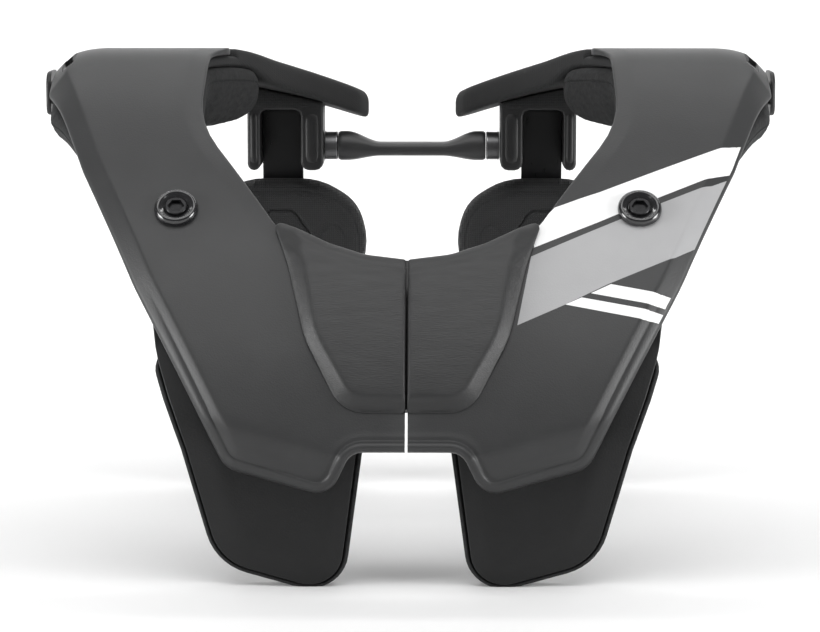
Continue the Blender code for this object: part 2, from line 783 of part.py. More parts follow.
def rear_bracket(rear):
    """Two fins and the web that joins them under the rear arm; the back arm goes between."""
    room = ARM_WIDTH / 2 + 2 * CLEARANCE
    far, near = -(ARM_CENTRE + room + OUTER_FIN), -(ARM_CENTRE - room - INNER_FIN)
    left, right = -(ARM_CENTRE + room), -(ARM_CENTRE - room)
    rows = [(far, rear.top, 0.0, 1.0), (far, rear.bottom, FIN_ROUND, 0.0),
            (left, rear.bottom, FIN_ROUND, 0.0), (left, rear.web, WEB_ROUND, 0.0),
            (right, rear.web, WEB_ROUND, 0.0), (right, rear.bottom, FIN_ROUND, 0.0),
            (near, rear.bottom, FIN_ROUND, 0.0), (near, rear.top, 0.0, 1.0)]
    loops = []
    soft = EDGE_ROUND
    for inset, y in ((soft, -FIN_DEPTH / 2), (0.0, soft - FIN_DEPTH / 2),
                     (0.0, FIN_DEPTH / 2 - soft), (soft, FIN_DEPTH / 2)):
        loop = []
        for x, z, at_top in fillet_ring(rows, inset):
            height = rear.underside(x, rear.y + y) - inset if at_top else z
            loop.append((x, rear.y + y, height))
        loops.append(loop)
    bm = loft(loops)
    bmesh.ops.triangulate(bm, faces=bm.faces[:])
    return bm


def link_bar(rear):
    """Rubber bar between the brackets: a flat strap with a round boss at each end."""
    half = rear.inner - SPACER_LENGTH - 2 * CLEARANCE
    stations = [(-share, way) for share, way in LINK_SECTIONS[:0:-1]] + LINK_SECTIONS
    loops = []
    for share, way in stations:
        height = LINK_MID_HEIGHT / 2 + (LINK_END_RADIUS - LINK_MID_HEIGHT / 2) * way
        depth = LINK_MID_DEPTH / 2 + (LINK_END_RADIUS - LINK_MID_DEPTH / 2) * way
        sag = (LINK_END_RADIUS - LINK_MID_HEIGHT / 2) * (1 - way) * LINK_SAG
        power = LINK_SQUARENESS + (1 - LINK_SQUARENESS) * way
        loop = []
        for k in range(LINK_SIDES):
            a = 2 * math.pi * k / LINK_SIDES
            c, s = math.cos(a), math.sin(a)
            y = math.copysign(abs(c) ** power, c) * depth
            z = math.copysign(abs(s) ** power, s) * height
            loop.append((share * half, y, z - sag))
        loops.append(loop)
    bm = loft(loops)
    bmesh.ops.triangulate(bm, faces=bm.faces[:])
    return bm


def bar_spacer():
    inner, end = SPACER_RADIUS - SPACER_CHAMFER, SPACER_LENGTH - SPACER_CHAMFER
    profile = [(inner, 0.0), (SPACER_RADIUS, SPACER_CHAMFER), (SPACER_RADIUS, end),
               (inner, SPACER_LENGTH)]
    bm = loft(turned(profile, LINK_SIDES))
    bmesh.ops.triangulate(bm, faces=bm.faces[:])
    return bm


def add_link(rear, parent):
    add_object("link_bar", link_bar(rear), "link_rubber", parent, (0, rear.y, rear.link_z))
    inside = rear.inner - SPACER_LENGTH - CLEARANCE
    for side, word in ((-1, "left"), (1, "right")):
        add_object("bar_spacer_" + word, bar_spacer(), "spacer_metal", parent,
                   (side * inside, rear.y, rear.link_z), (0, side * math.pi / 2, 0))


def back_pad_rows(start, length):
    """Closed outline of a back pad on the back drape, t going down."""
    right = [(ARM_CENTRE - BACK_PAD_HALF_WIDTH * across, start + length * along, corner, 0.0)
             for across, along, corner in BACK_PAD_OUTLINE]
    left = [(2 * ARM_CENTRE - x, t, corner, drop) for x, t, corner, drop in right[::-1]]
    return [(-x, t, corner, drop) for x, t, corner, drop in right + left]


def back_drape(rear, floor):
    """Bent curve of the back supports, from under the brackets' webs down to the floor."""
    height = rear.web - CLEARANCE - floor + FOOT_FLAT
    share_height = 0.0
    for (s0, a0), (s1, a1) in zip(BACK_LEANS, BACK_LEANS[1:]):
        share_height += (s1 - s0) * math.cos(math.radians((a0 + a1) / 2))
    length = height / share_height
    angles = [(share * length, 180.0 - lean) for share, lean in BACK_LEANS]
    start = (rear.y, rear.web - CLEARANCE)
    return Drape(start, angles, 0.0, length), length


def back_pad(drape, start, length, floor):
    rows = back_pad_rows(start, length - start)
    bm = slab(rows, rounded_levels(-CLEARANCE - BACK_PAD_THICKNESS, -CLEARANCE,
                                   FOAM_ROUND, EDGE_ROUND))
    bend(bm, drape)
    cut_foot(bm, floor)
    return bm


def back_plate(drape, start, length):
    rows = inset_rows(back_pad_rows(start, length - start), BACK_PAD_RIM)
    bm = slab(rows, rounded_levels(0.0, BACK_PLATE_WALL, SEAT_ROUND, EDGE_ROUND))
    bend(bm, drape)
    return bm


def back_arm(drape, start, length):
    """Spring strip from the bracket down behind the upper half of the back plate."""
    end = start + (length - start) * ARM_END
    half = ARM_WIDTH / 2
    corner = half * ARM_END_ROUND
    low = BACK_PLATE_WALL + CLEARANCE
    top = (low + ARM_WALL) * math.tan(math.radians(BACK_LEANS[0][1]))
    rows = [(-ARM_CENTRE - half, top, 0.0, 0.0), (-ARM_CENTRE - half, end, corner, 0.0),
            (-ARM_CENTRE + half, end, corner, 0.0), (-ARM_CENTRE + half, top, 0.0, 0.0)]
    bm = slab(rows, rounded_levels(low, low + ARM_WALL, SEAT_ROUND, ARM_ROUND))
    bend(bm, drape)
    return bm


def clear_scene():
    for old in list(bpy.data.objects):
        bpy.data.objects.remove(old, do_unlink=True)


def build():
    clear_scene()
    rise = [(share * DRAPE_LENGTH, angle) for share, angle in DRAPE_ANGLES]
    creases = [(share * HALF_SPAN, span[0] * DRAPE_LENGTH)
               for table, span in ((COLLAR_SINKS, COLLAR_FADE), (SHOULDER_SINKS, SHOULDER_FADE))
               for share, _ in table]
    drape = Drape((0.0, 0.0), rise, -0.2 * DRAPE_LENGTH, 1.05 * DRAPE_LENGTH,
                  sinking, creases)
    chest_turn = [(share * (DRAPE_LENGTH if share > 0 else HEM_DROP), angle)
                  for share, angle in CHEST_ANGLES]
    chest_angles = chest_turn + [pair for pair in rise if pair[0] > chest_turn[-1][0]]
    chest = chest_drape(drape, chest_angles)

    foam_rows = corner_rows(CHEST_FOAM_OUTLINE, on_chest)
    lowest = min(t for _, t, _ in fillet_ring(foam_rows, 0.0))
    back_edge = CHEST_PLATE_BOTTOM - CLEARANCE - CHEST_FOAM_THICKNESS / 2
    floor = chest.place(0, lowest, back_edge).z + FOOT_FLAT

    stand = bpy.data.objects.new("stand_point", None)
    bpy.context.collection.objects.link(stand)
    rear = Rear(drape)

    shells = add_pair("front_shell", front_shell(drape), "shell_black", stand)
    for shell, side, word in zip(shells, (-1, 1), ("left", "right")):
        cut_slot(shell, slot_cutter("slot_cutter_" + word, side, drape, stand))
    add_pair("front_pad", front_pad(drape), "pad_leather", stand)
    add_pair("frame", frame(drape), "frame_black", stand)
    add_pair("shoulder_pad", shoulder_pad(drape), "foam_grey", stand)
    add_pair("chest_plate", chest_plate(chest), "plate_black", stand)
    add_pair("chest_foam", chest_foam(chest, floor), "foam_grey", stand)
    add_bolts(drape, stand)
    add_object("front_clasp", front_clasp(drape), "frame_black", stand)
    add_pair("side_clip", side_clip(drape), "frame_black", stand)

    add_pair("rear_bracket", rear_bracket(rear), "frame_black", stand)
    add_link(rear, stand)
    back, length = back_drape(rear, floor)
    start = rear.web - rear.bottom + PAD_BELOW_FINS
    add_pair("back_pad", back_pad(back, start, length, floor), "mesh_pad", stand)
    add_pair("back_plate", back_plate(back, start, length), "plate_black", stand)
    add_pair("back_arm", back_arm(back, start, length), "arm_gloss", stand)

    bpy.context.view_layer.update()
    ends = [(made.matrix_world @ Vector(corner)).y for made in stand.children
            if not made.hide_render for corner in made.bound_box]
    stand.location = (0, -(min(ends) + max(ends)) / 2, -floor)


def chest_drape(drape, angles):
    """The chest pads' curve: it joins the drape at its last own row and hangs down from there."""
    join = CHEST_ANGLES[-1][0] * DRAPE_LENGTH
    trial = Drape((0.0, 0.0), angles, -1.3 * HEM_DROP, DRAPE_LENGTH / 2)
    shift = drape.place(0, join) - trial.place(0, join)
    return Drape((shift.y, shift.z), angles, -1.3 * HEM_DROP, DRAPE_LENGTH / 2)


build()
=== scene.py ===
import math

import bmesh
import bpy
import numpy as np
from mathutils import Matrix, Vector


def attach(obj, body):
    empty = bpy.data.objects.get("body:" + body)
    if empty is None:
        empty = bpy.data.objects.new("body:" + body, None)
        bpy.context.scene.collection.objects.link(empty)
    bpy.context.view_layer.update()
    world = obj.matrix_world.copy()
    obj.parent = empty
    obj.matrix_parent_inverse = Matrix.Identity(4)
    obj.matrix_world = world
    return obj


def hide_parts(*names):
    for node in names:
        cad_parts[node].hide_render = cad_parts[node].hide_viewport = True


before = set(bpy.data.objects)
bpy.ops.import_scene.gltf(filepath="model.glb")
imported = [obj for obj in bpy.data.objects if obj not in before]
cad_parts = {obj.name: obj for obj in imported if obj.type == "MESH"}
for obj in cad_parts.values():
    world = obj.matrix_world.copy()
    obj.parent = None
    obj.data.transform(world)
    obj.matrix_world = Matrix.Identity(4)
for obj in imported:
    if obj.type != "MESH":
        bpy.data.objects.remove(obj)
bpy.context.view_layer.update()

print("frame loaded with", len(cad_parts), "nodes")

# metres, +Z up, the chest side towards -Y; left is the left of a front view
brace = {
    "halfSpan": 0.150,
    "length": 0.300,          # along the drape, from the hem to the rear tips
    "hemDrop": 0.057,         # chest pads below the hem
    "halfGap": 0.0008,        # half of the gap between the two halves
    "gap": 0.0003,            # between pieces that touch on the real brace
    "depthShift": -0.112054,  # the hem's place from front to back
    "rise": 0.054581,         # the hem over the floor
    "shellWall": 0.003,
    "frameWall": 0.008,
    "plateWall": 0.0025,
    "angles": [(0.0, 18.0), (0.15, 31.0), (0.267, 38.0), (0.343, 45.5), (0.617, 60.0),
               (0.707, 90.0), (0.777, 98.0)],   # share along, degrees from vertical
    "collar": (0.560, 0.0495, 1.5, 0.740, 0.833),   # start, amount, power, fade from and to
    "shoulder": (0.833, 0.497, 2.3, 0.500, 0.620),
}
frameTop = -(brace["shellWall"] + brace["gap"])
frameBottom = frameTop - brace["frameWall"]
underFrame = frameBottom - brace["gap"]
plateBottom = underFrame - brace["plateWall"]


def makeCurve(start, angles, low, high, step=0.0005):
    t = np.arange(low, high, step)
    a = np.radians(np.interp(t, [p[0] for p in angles], [p[1] for p in angles]))
    middle = (a[1:] + a[:-1]) / 2
    y = np.concatenate([[0], np.cumsum(np.sin(middle))]) * step
    z = np.concatenate([[0], np.cumsum(np.cos(middle))]) * step
    y += start[0] - np.interp(0, t, y)
    z += start[1] - np.interp(0, t, z)
    return {"t": t, "y": y, "z": z, "a": a, "sinks": False}


def fadeIn(t, low, high):
    f = np.clip((t / brace["length"] - low) / (high - low), 0, 1)
    return f * f * (3 - 2 * f)


def sinkAt(x, t):
    share = np.abs(x) / brace["halfSpan"]
    start, amount, power, low, high = brace["collar"]
    down = amount * np.maximum(start - share, 0) ** power * fadeIn(t, low, high)
    start, amount, power, low, high = brace["shoulder"]
    return down + amount * np.maximum(share - start, 0) ** power * fadeIn(t, low, high)


def place(curve, x, t, h):
    # points of a blank, laid over its curve
    y = np.interp(t, curve["t"], curve["y"])
    z = np.interp(t, curve["t"], curve["z"])
    a = np.interp(t, curve["t"], curve["a"])
    z = z + h * np.sin(a)
    if curve["sinks"]:
        z = z - sinkAt(x, t)
    return np.stack([x, y - h * np.cos(a), z], axis=-1)


def placeOne(curve, x, t, h=0.0):
    return Vector(place(curve, np.array([x]), np.array([t]), np.array([h]))[0])


scaled = [(share * brace["length"], angle) for share, angle in brace["angles"]]
drape = makeCurve((brace["depthShift"], brace["rise"]), scaled, -0.08, 0.33)
drape["sinks"] = True

# the chest pads leave the drape at their last own row and hang down from there
chestTurn = [(-1.2 * brace["hemDrop"], -3.0), (0.0, 4.0), (0.083 * brace["length"], 25.2)]
joint = chestTurn[-1][0]
chestAngles = chestTurn + [p for p in scaled if p[0] > joint]
chestCurve = makeCurve((0.0, 0.0), chestAngles, -0.08, 0.16)
offset = placeOne(drape, 0.0, joint) - placeOne(chestCurve, 0.0, joint)
chestCurve["y"] += offset.y
chestCurve["z"] += offset.z


def onDrape(row):
    x = -max(row[0] * brace["halfSpan"], brace["halfGap"])
    return [x, row[1] * brace["length"], *row[2:]]


def onChest(row):
    along = brace["length"] if row[1] > 0 else brace["hemDrop"]
    return [-row[0] * brace["halfSpan"], row[1] * along, *row[2:]]


def outlineLoop(rows, inset, longest=0.0022, turnStep=0.16):
    # rows of x, t, corner radius and what else a row carries, moved inwards by inset with
    # their corners rounded
    count = len(rows)
    points = [Vector(row[:2]) for row in rows]
    area = sum(points[i - 1].cross(points[i]) for i in range(count))
    side = 1.0 if area > 0 else -1.0
    ways = [(points[(i + 1) % count] - points[i]).normalized() for i in range(count)]
    inward = [Vector((-way.y, way.x)) * side for way in ways]
    moved, turns, radii = [], [], []
    for i in range(count):
        before, after = ways[i - 1], ways[i]
        turn = math.atan2(before.cross(after), before.dot(after))
        moved.append(points[i] + inward[i] * inset + after * math.tan(turn / 2 * side) * inset)
        turns.append(turn)
        radius = rows[i][2] - inset if turn * side > 0 else rows[i][2] + inset
        radii.append(max(radius, 0.0) if rows[i][2] > 0 else 0.0)
    reach = [abs(math.tan(turn / 2)) for turn in turns]
    for _ in range(3):
        for i in range(count):
            k = (i + 1) % count
            edge = (moved[k] - moved[i]).length * 0.98
            need = radii[i] * reach[i] + radii[k] * reach[k]
            if need > edge:
                radii[i] *= edge / need
                radii[k] *= edge / need
    loop = []
    for i in range(count):
        if rows[i][2] == 0:
            loop.append((moved[i].x, moved[i].y, *rows[i][3:]))
            continue
        steps = max(2, math.ceil(abs(turns[i]) * rows[i][2] / longest))
        steps = min(steps, max(3, math.ceil(abs(turns[i]) / turnStep)))
        start = moved[i] - ways[i - 1] * radii[i] * reach[i]
        bow = 1.0 if turns[i] * side > 0 else -1.0
        centre = start + inward[i - 1] * radii[i] * bow
        for k in range(steps + 1):
            spoke = (start - centre).copy()
            spoke.rotate(Matrix.Rotation(turns[i] * k / steps, 2))
            loop.append(((centre + spoke).x, (centre + spoke).y, *rows[i][3:]))
    return loop


def skinLoops(loops, closed=False):
    bm = bmesh.new()
    rings = [[bm.verts.new(point) for point in loop] for loop in loops]
    pairs = list(zip(rings, rings[1:]))
    if closed:
        pairs.append((rings[-1], rings[0]))
    for low, high in pairs:
        for i in range(len(low)):
            k = (i + 1) % len(low)
            bm.faces.new((low[i], low[k], high[k], high[i]))
    if not closed:
        bm.faces.new(rings[0][::-1])
        bm.faces.new(rings[-1])
    bmesh.ops.recalc_face_normals(bm, faces=bm.faces[:])
    return bm


def sliceMesh(bm, point, direction, faces=None):
    faces = faces if faces is not None else bm.faces[:]
    edges = {e for f in faces for e in f.edges}
    verts = {v for f in faces for v in f.verts}
    bmesh.ops.bisect_plane(bm, geom=list(verts) + list(edges) + list(faces), dist=1e-6,
                           plane_co=point, plane_no=direction)


def cutGrid(bm, alongStep, acrossStep):
    ts = [v.co.y for v in bm.verts]
    xs = [v.co.x for v in bm.verts]
    for t in np.arange(min(ts) + alongStep / 2, max(ts), alongStep):
        sliceMesh(bm, (0, t, 0), (0, 1, 0))
    for x in np.arange(min(xs) + acrossStep / 2, max(xs), acrossStep):
        sliceMesh(bm, (x, 0, 0), (1, 0, 0))


def ringedBlank(rows, rings, alongStep=0.003, acrossStep=0.006):
    # rings hold an inset and a height, or how the height follows from a row's last columns
    loops = []
    for inset, height in rings:
        loop = []
        for x, t, *edge in outlineLoop(rows, inset):
            loop.append((x, t, height(*edge) if callable(height) else height))
        loops.append(loop)
    bm = skinLoops(loops)
    cutGrid(bm, alongStep, acrossStep)
    return bm


def quarterRound(radius, steps=4):
    # inset and fall of a rounded edge, from its side to its face
    angles = [math.radians(90 * k / steps) for k in range(steps + 1)]
    return [(radius * (1 - math.sin(a)), radius * (1 - math.cos(a))) for a in angles][::-1]


def slabRings(low, high, lowRound, highRound, steps=4):
    # from the lower face round the edge to the upper
    rings = [(inset, low + fall) for inset, fall in quarterRound(lowRound, steps)[::-1]]
    return rings + [(inset, high - fall) for inset, fall in quarterRound(highRound, steps)]


def layOver(bm, curve, shape=None):
    bmesh.ops.triangulate(bm, faces=bm.faces[:])
    co = np.array([v.co for v in bm.verts])
    if shape:
        co = shape(co)
    co = place(curve, co[:, 0], co[:, 1], co[:, 2])
    for v, p in zip(bm.verts, co):
        v.co = p


def newMesh(name, bm):
    mesh = bpy.data.meshes.new(name)
    bm.to_mesh(mesh)
    bm.free()
    return mesh


def newObject(name, data):
    made = bpy.data.objects.new(name, data)
    bpy.context.scene.collection.objects.link(made)
    return made


cloth = {
    "enlarged": 10.0,         # the solver works better on larger pieces
    "frames": 20,
    "pressure": 4.0,
    "quality": 6,
    "stiffness": 12.0,
    "bending": 0.4,
    "growth": -0.012,         # the cover is cut a little larger than its filling
    "evened": 10,             # rounds that even the movement out between neighbours
}


def swell(bm, held, cap):
    # a cover blown up over its filling by a cloth run, held where held gives 1
    bmesh.ops.triangulate(bm, faces=bm.faces[:])
    mesh = bpy.data.meshes.new("cover")
    bm.to_mesh(mesh)
    bm.verts.index_update()
    start = np.array([v.co for v in bm.verts])
    mesh.vertices.foreach_set("co", (start * cloth["enlarged"]).ravel())
    cover = newObject("cover", mesh)
    group = cover.vertex_groups.new(name="held")
    weights = np.asarray(held(start), dtype=float)
    for i, weight in enumerate(weights):
        group.add([i], float(weight), "REPLACE")
    blown = cover.modifiers.new("cloth", "CLOTH")
    given = blown.settings
    given.quality = cloth["quality"]
    given.use_pressure = True
    given.uniform_pressure_force = cloth["pressure"]
    given.tension_stiffness = cloth["stiffness"]
    given.compression_stiffness = cloth["stiffness"]
    given.bending_stiffness = cloth["bending"]
    given.shrink_min = cloth["growth"]
    given.effector_weights.gravity = 0.0
    given.vertex_group_mass = "held"
    blown.point_cache.frame_start = 1
    blown.point_cache.frame_end = cloth["frames"]
    for number in range(1, cloth["frames"] + 1):
        bpy.context.scene.frame_set(number)
    graph = bpy.context.evaluated_depsgraph_get()
    done = cover.evaluated_get(graph).to_mesh()
    moved = np.empty(len(start) * 3)
    done.vertices.foreach_get("co", moved)
    moved = moved.reshape(-1, 3) / cloth["enlarged"] - start
    ends = np.array([[v.index for v in edge.verts] for edge in bm.edges])
    for _ in range(cloth["evened"]):
        total, count = moved.copy(), np.ones(len(moved))
        for a, b in ((0, 1), (1, 0)):
            np.add.at(total, ends[:, a], moved[ends[:, b]])
            np.add.at(count, ends[:, a], 1)
        moved = total / count[:, None] * (1 - weights)[:, None]
    far = np.linalg.norm(moved, axis=1)
    print("cover swelled by", round(float(far.max()) * 1000, 2), "mm before its cap")
    # eased towards the cap, so that no flat spot shows
    share = cap * np.tanh(far / cap) / np.maximum(far, 1e-9)
    for v, point in zip(bm.verts, start + moved * share[:, None]):
        v.co = point
    bpy.data.objects.remove(cover)
    bpy.data.meshes.remove(mesh)
    bpy.context.scene.frame_set(1)


def addPiece(name, bm, nodes, materials, sharp=38.0):
    # nodes are the CAD solids that the piece stands for
    mesh = newMesh(name, bm)
    mesh.shade_smooth()
    mesh.set_sharp_from_angle(angle=math.radians(sharp))
    for material in materials:
        mesh.materials.append(material)
    piece = newObject(name, mesh)
    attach(piece, "root")
    if nodes:
        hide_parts(*nodes)
    return piece


def mirrored(bm):
    twin = bm.copy()
    for v in twin.verts:
        v.co.x = -v.co.x
    bmesh.ops.reverse_faces(twin, faces=twin.faces[:])
    return twin


def addPair(name, bm, node, materials, sharp=38.0):
    twin = mirrored(bm)
    left = addPiece(name + "Left", bm, [node + "_left"] if node else [], materials, sharp)
    right = addPiece(name + "Right", twin, [node + "_right"] if node else [], materials,
                     sharp)
    return left, right


def addNode(tree, kind, inputs=None, **settings):
    made = tree.nodes.new(kind)
    for key, value in settings.items():
        setattr(made, key, value)
    for key, value in (inputs or {}).items():
        if isinstance(value, bpy.types.NodeSocket):
            tree.links.new(value, made.inputs[key])
        else:
            made.inputs[key].default_value = value
    return made


def newFinish(name, look):
    made = bpy.data.materials.new(name)
    made.use_nodes = True
    shader = made.node_tree.nodes["Principled BSDF"]
    shader.inputs["Base Color"].default_value = (*look["colour"], 1)
    shader.inputs["Roughness"].default_value = look["roughness"]
    shader.inputs["Metallic"].default_value = look.get("metallic", 0.0)
    shader.inputs["Specular IOR Level"].default_value = look.get("specular", 0.5)
    shader.inputs["Coat Weight"].default_value = look.get("coat", 0.0)
    shader.inputs["Coat Roughness"].default_value = 0.12
    shader.inputs["Sheen Weight"].default_value = look.get("sheen", 0.0)
    shader.inputs["Sheen Roughness"].default_value = 0.5
    return made


def startFinish(name, look):
    # the finish, its tree, its shader's inputs and the points of its piece
    made = newFinish(name, look)
    tree = made.node_tree
    points = addNode(tree, "ShaderNodeTexCoord").outputs["Object"]
    return made, tree, tree.nodes["Principled BSDF"].inputs, points


def stretched(tree, points, scale):
    return addNode(tree, "ShaderNodeMapping", {"Vector": points, "Scale": scale}).outputs[0]


def math2(tree, operation, a, b=0.0):
    made = addNode(tree, "ShaderNodeMath", {0: a, 1: b}, operation=operation)
    return made.outputs[0]


def mottled(tree, points, colour, spread, scale):
    # the colour wanders a little between a darker and a lighter tone
    noise = addNode(tree, "ShaderNodeTexNoise", {"Vector": points, "Scale": scale, "Detail": 4.0})
    ramp = addNode(tree, "ShaderNodeValToRGB", {"Fac": noise.outputs["Fac"]})
    ramp.color_ramp.elements[0].position = 0.3
    ramp.color_ramp.elements[1].position = 0.7
    ramp.color_ramp.elements[0].color = (*[c * (1 - spread) for c in colour], 1)
    ramp.color_ramp.elements[1].color = (*[c * (1 + spread) for c in colour], 1)
    return ramp.outputs["Color"]


def wornEdges(tree, colour, strength):
    # rubbed edges are a little lighter
    if not strength:
        return colour
    point = addNode(tree, "ShaderNodeNewGeometry").outputs["Pointiness"]
    edge = addNode(tree, "ShaderNodeMapRange", {"Value": point, "From Min": 0.52,
                                                "From Max": 0.62, "To Min": 1.0,
                                                "To Max": 1.0 + strength}).outputs[0]
    made = addNode(tree, "ShaderNodeVectorMath", {0: colour, "Scale": edge}, operation="SCALE")
    return made.outputs[0]


def bumped(tree, height, depth, below=None):
    made = addNode(tree, "ShaderNodeBump", {"Height": height, "Strength": 1.0,
                                            "Distance": depth})
    if below:
        tree.links.new(below, made.inputs["Normal"])
    return made.outputs[0]


def mouldedPlastic(name, look):
    # satin plastic from a spark-eroded mould: pebbled at half a millimetre, with rubbed edges
    made, tree, shader, points = startFinish(name, look)
    colour = mottled(tree, points, look["colour"], look["spread"], 60.0)
    tree.links.new(wornEdges(tree, colour, look["wear"]), shader["Base Color"])
    pebbles = addNode(tree, "ShaderNodeTexVoronoi", {"Vector": points, "Scale": look["grain"]})
    fine = addNode(tree, "ShaderNodeTexNoise", {"Vector": points, "Scale": look["grain"] * 2.2,
                                                "Detail": 2.0})
    lows = addNode(tree, "ShaderNodeTexNoise", {"Vector": points, "Scale": 25.0, "Detail": 1.0})
    rough = addNode(tree, "ShaderNodeMapRange", {"Value": fine.outputs["Fac"],
                                                 "To Min": look["roughness"] - 0.06,
                                                 "To Max": look["roughness"] + 0.06})
    tree.links.new(rough.outputs[0], shader["Roughness"])
    wave = bumped(tree, lows.outputs["Fac"], look.get("waviness", 0.0003))
    grain = bumped(tree, pebbles.outputs["Distance"], look["grainDepth"], wave)
    tree.links.new(bumped(tree, fine.outputs["Fac"], look["grainDepth"] / 2, grain),
                   shader["Normal"])
    return made


def leatherCover(name, look):
    # fine grain whose creases run across, over a firm padded form
    made, tree, shader, points = startFinish(name, look)
    cells = addNode(tree, "ShaderNodeTexVoronoi",
                    {"Vector": stretched(tree, points, (0.16, 1.0, 1.2)),
                     "Scale": look["grain"], "Randomness": 1.0}, feature="DISTANCE_TO_EDGE")
    creases = addNode(tree, "ShaderNodeTexNoise",
                      {"Vector": stretched(tree, points, (0.09, 1.0, 1.5)),
                       "Scale": look["grain"] * 0.55, "Detail": 5.0, "Roughness": 0.6})
    colour = mottled(tree, stretched(tree, points, (0.3, 1, 1.4)), look["colour"],
                     look["spread"], 260.0)
    tree.links.new(wornEdges(tree, colour, look["wear"]), shader["Base Color"])
    rough = addNode(tree, "ShaderNodeMapRange", {"Value": creases.outputs["Fac"],
                                                 "To Min": look["roughness"] - 0.1,
                                                 "To Max": look["roughness"] + 0.1})
    tree.links.new(rough.outputs[0], shader["Roughness"])
    cell = addNode(tree, "ShaderNodeMapRange", {"Value": cells.outputs["Distance"],
                                                "From Max": 0.25}).outputs[0]
    low = bumped(tree, cell, look["grainDepth"])
    tree.links.new(bumped(tree, creases.outputs["Fac"], look["grainDepth"] * 1.5, low),
                   shader["Normal"])
    return made


def bands(tree, points, direction, period):
    # a sine that runs along one direction, from -1 to 1
    dot = addNode(tree, "ShaderNodeVectorMath", {0: points, 1: direction},
                  operation="DOT_PRODUCT").outputs["Value"]
    return math2(tree, "SINE", math2(tree, "MULTIPLY", dot, 2 * math.pi / period))


def knitCover(name, look):
    # small lozenges of a stretched knit or mesh, dark in their gaps
    made, tree, shader, points = startFinish(name, look)
    first = bands(tree, points, look["wayA"], look["period"])
    second = bands(tree, points, look["wayB"], look["period"])
    cell = math2(tree, "MULTIPLY", first, second)
    height = math2(tree, "ADD", math2(tree, "MULTIPLY", cell, 0.5), 0.5)
    fuzz = addNode(tree, "ShaderNodeTexNoise", {"Vector": points, "Scale": 1500.0,
                                                "Detail": 3.0})
    mixed = addNode(tree, "ShaderNodeMix", {0: look["fuzz"], 2: height, 3: fuzz.outputs["Fac"]})
    ramp = addNode(tree, "ShaderNodeValToRGB", {"Fac": mixed.outputs[0]})
    ramp.color_ramp.elements[0].position = 0.25
    ramp.color_ramp.elements[1].position = 0.62
    ramp.color_ramp.elements[0].color = (*[c * (1 - look["spread"]) for c in look["colour"]], 1)
    ramp.color_ramp.elements[1].color = (*[c * (1 + look["spread"]) for c in look["colour"]], 1)
    tree.links.new(ramp.outputs["Color"], shader["Base Color"])
    low = bumped(tree, height, look["grainDepth"])
    tree.links.new(bumped(tree, fuzz.outputs["Fac"], look["grainDepth"] * 0.5, low),
                   shader["Normal"])
    return made


def foamSkin(name, look):
    # moulded foam with small open cells
    made, tree, shader, points = startFinish(name, look)
    cells = addNode(tree, "ShaderNodeTexVoronoi", {"Vector": points, "Scale": look["grain"]})
    noise = addNode(tree, "ShaderNodeTexNoise", {"Vector": points, "Scale": look["grain"] * 0.6,
                                                 "Detail": 6.0, "Roughness": 0.7})
    tree.links.new(mottled(tree, points, look["colour"], look["spread"], look["grain"] * 0.4),
                   shader["Base Color"])
    low = bumped(tree, cells.outputs["Distance"], look["grainDepth"])
    tree.links.new(bumped(tree, noise.outputs["Fac"], look["grainDepth"] * 1.4, low),
                   shader["Normal"])
    return made


def plainGloss(name, look):
    # smooth moulded or machined surface with faint handling marks in its gloss
    made, tree, shader, points = startFinish(name, look)
    smears = addNode(tree, "ShaderNodeTexNoise",
                     {"Vector": stretched(tree, points, look.get("brush", (1, 1, 1))),
                      "Scale": look["grain"], "Detail": 5.0, "Roughness": 0.6})
    rough = addNode(tree, "ShaderNodeMapRange",
                    {"Value": smears.outputs["Fac"], "From Min": 0.3, "From Max": 0.7,
                     "To Min": look["roughness"] * 0.75, "To Max": look["roughness"] * 1.35})
    tree.links.new(rough.outputs[0], shader["Roughness"])
    colour = mottled(tree, points, look["colour"], look["spread"], 180.0)
    tree.links.new(wornEdges(tree, colour, look["wear"]), shader["Base Color"])
    tree.links.new(bumped(tree, smears.outputs["Fac"], look["grainDepth"]),
                   shader["Normal"])
    return made


shellPlastic = mouldedPlastic("shellPlastic", {
    "colour": (0.0298, 0.0302, 0.0308), "roughness": 0.42, "specular": 0.35, "spread": 0.06,
    "wear": 0.25, "grain": 1500.0, "grainDepth": 0.00003})
printWhite = mouldedPlastic("printWhite", {
    "colour": (0.86, 0.86, 0.86), "roughness": 0.42, "spread": 0.02, "wear": 0.0,
    "grain": 1500.0, "grainDepth": 0.00002})
printGrey = mouldedPlastic("printGrey", {
    "colour": (0.335, 0.335, 0.34), "roughness": 0.42, "spread": 0.03, "wear": 0.0,
    "grain": 1500.0, "grainDepth": 0.00002})
framePlastic = mouldedPlastic("framePlastic", {
    "colour": (0.0138, 0.0138, 0.0142), "roughness": 0.42, "specular": 0.4, "spread": 0.10,
    "wear": 0.3, "grain": 900.0, "grainDepth": 0.00003})
platePlastic = mouldedPlastic("platePlastic", {
    "colour": (0.0088, 0.0090, 0.0093), "roughness": 0.44, "specular": 0.3, "spread": 0.08,
    "wear": 0.3, "grain": 1200.0, "grainDepth": 0.00004})
padLeather = leatherCover("padLeather", {
    "colour": (0.027, 0.0273, 0.0278), "roughness": 0.44, "specular": 0.35, "spread": 0.10,
    "wear": 0.2, "grain": 1300.0, "grainDepth": 0.000022})
armKnit = knitCover("armKnit", {
    "colour": (0.0138, 0.0140, 0.0143), "roughness": 0.7, "specular": 0.3, "spread": 0.4,
    "sheen": 0.03, "period": 0.0011, "wayA": (0.7, 0.5, 0.5), "wayB": (0.7, -0.5, -0.5),
    "fuzz": 0.6, "grainDepth": 0.00008})
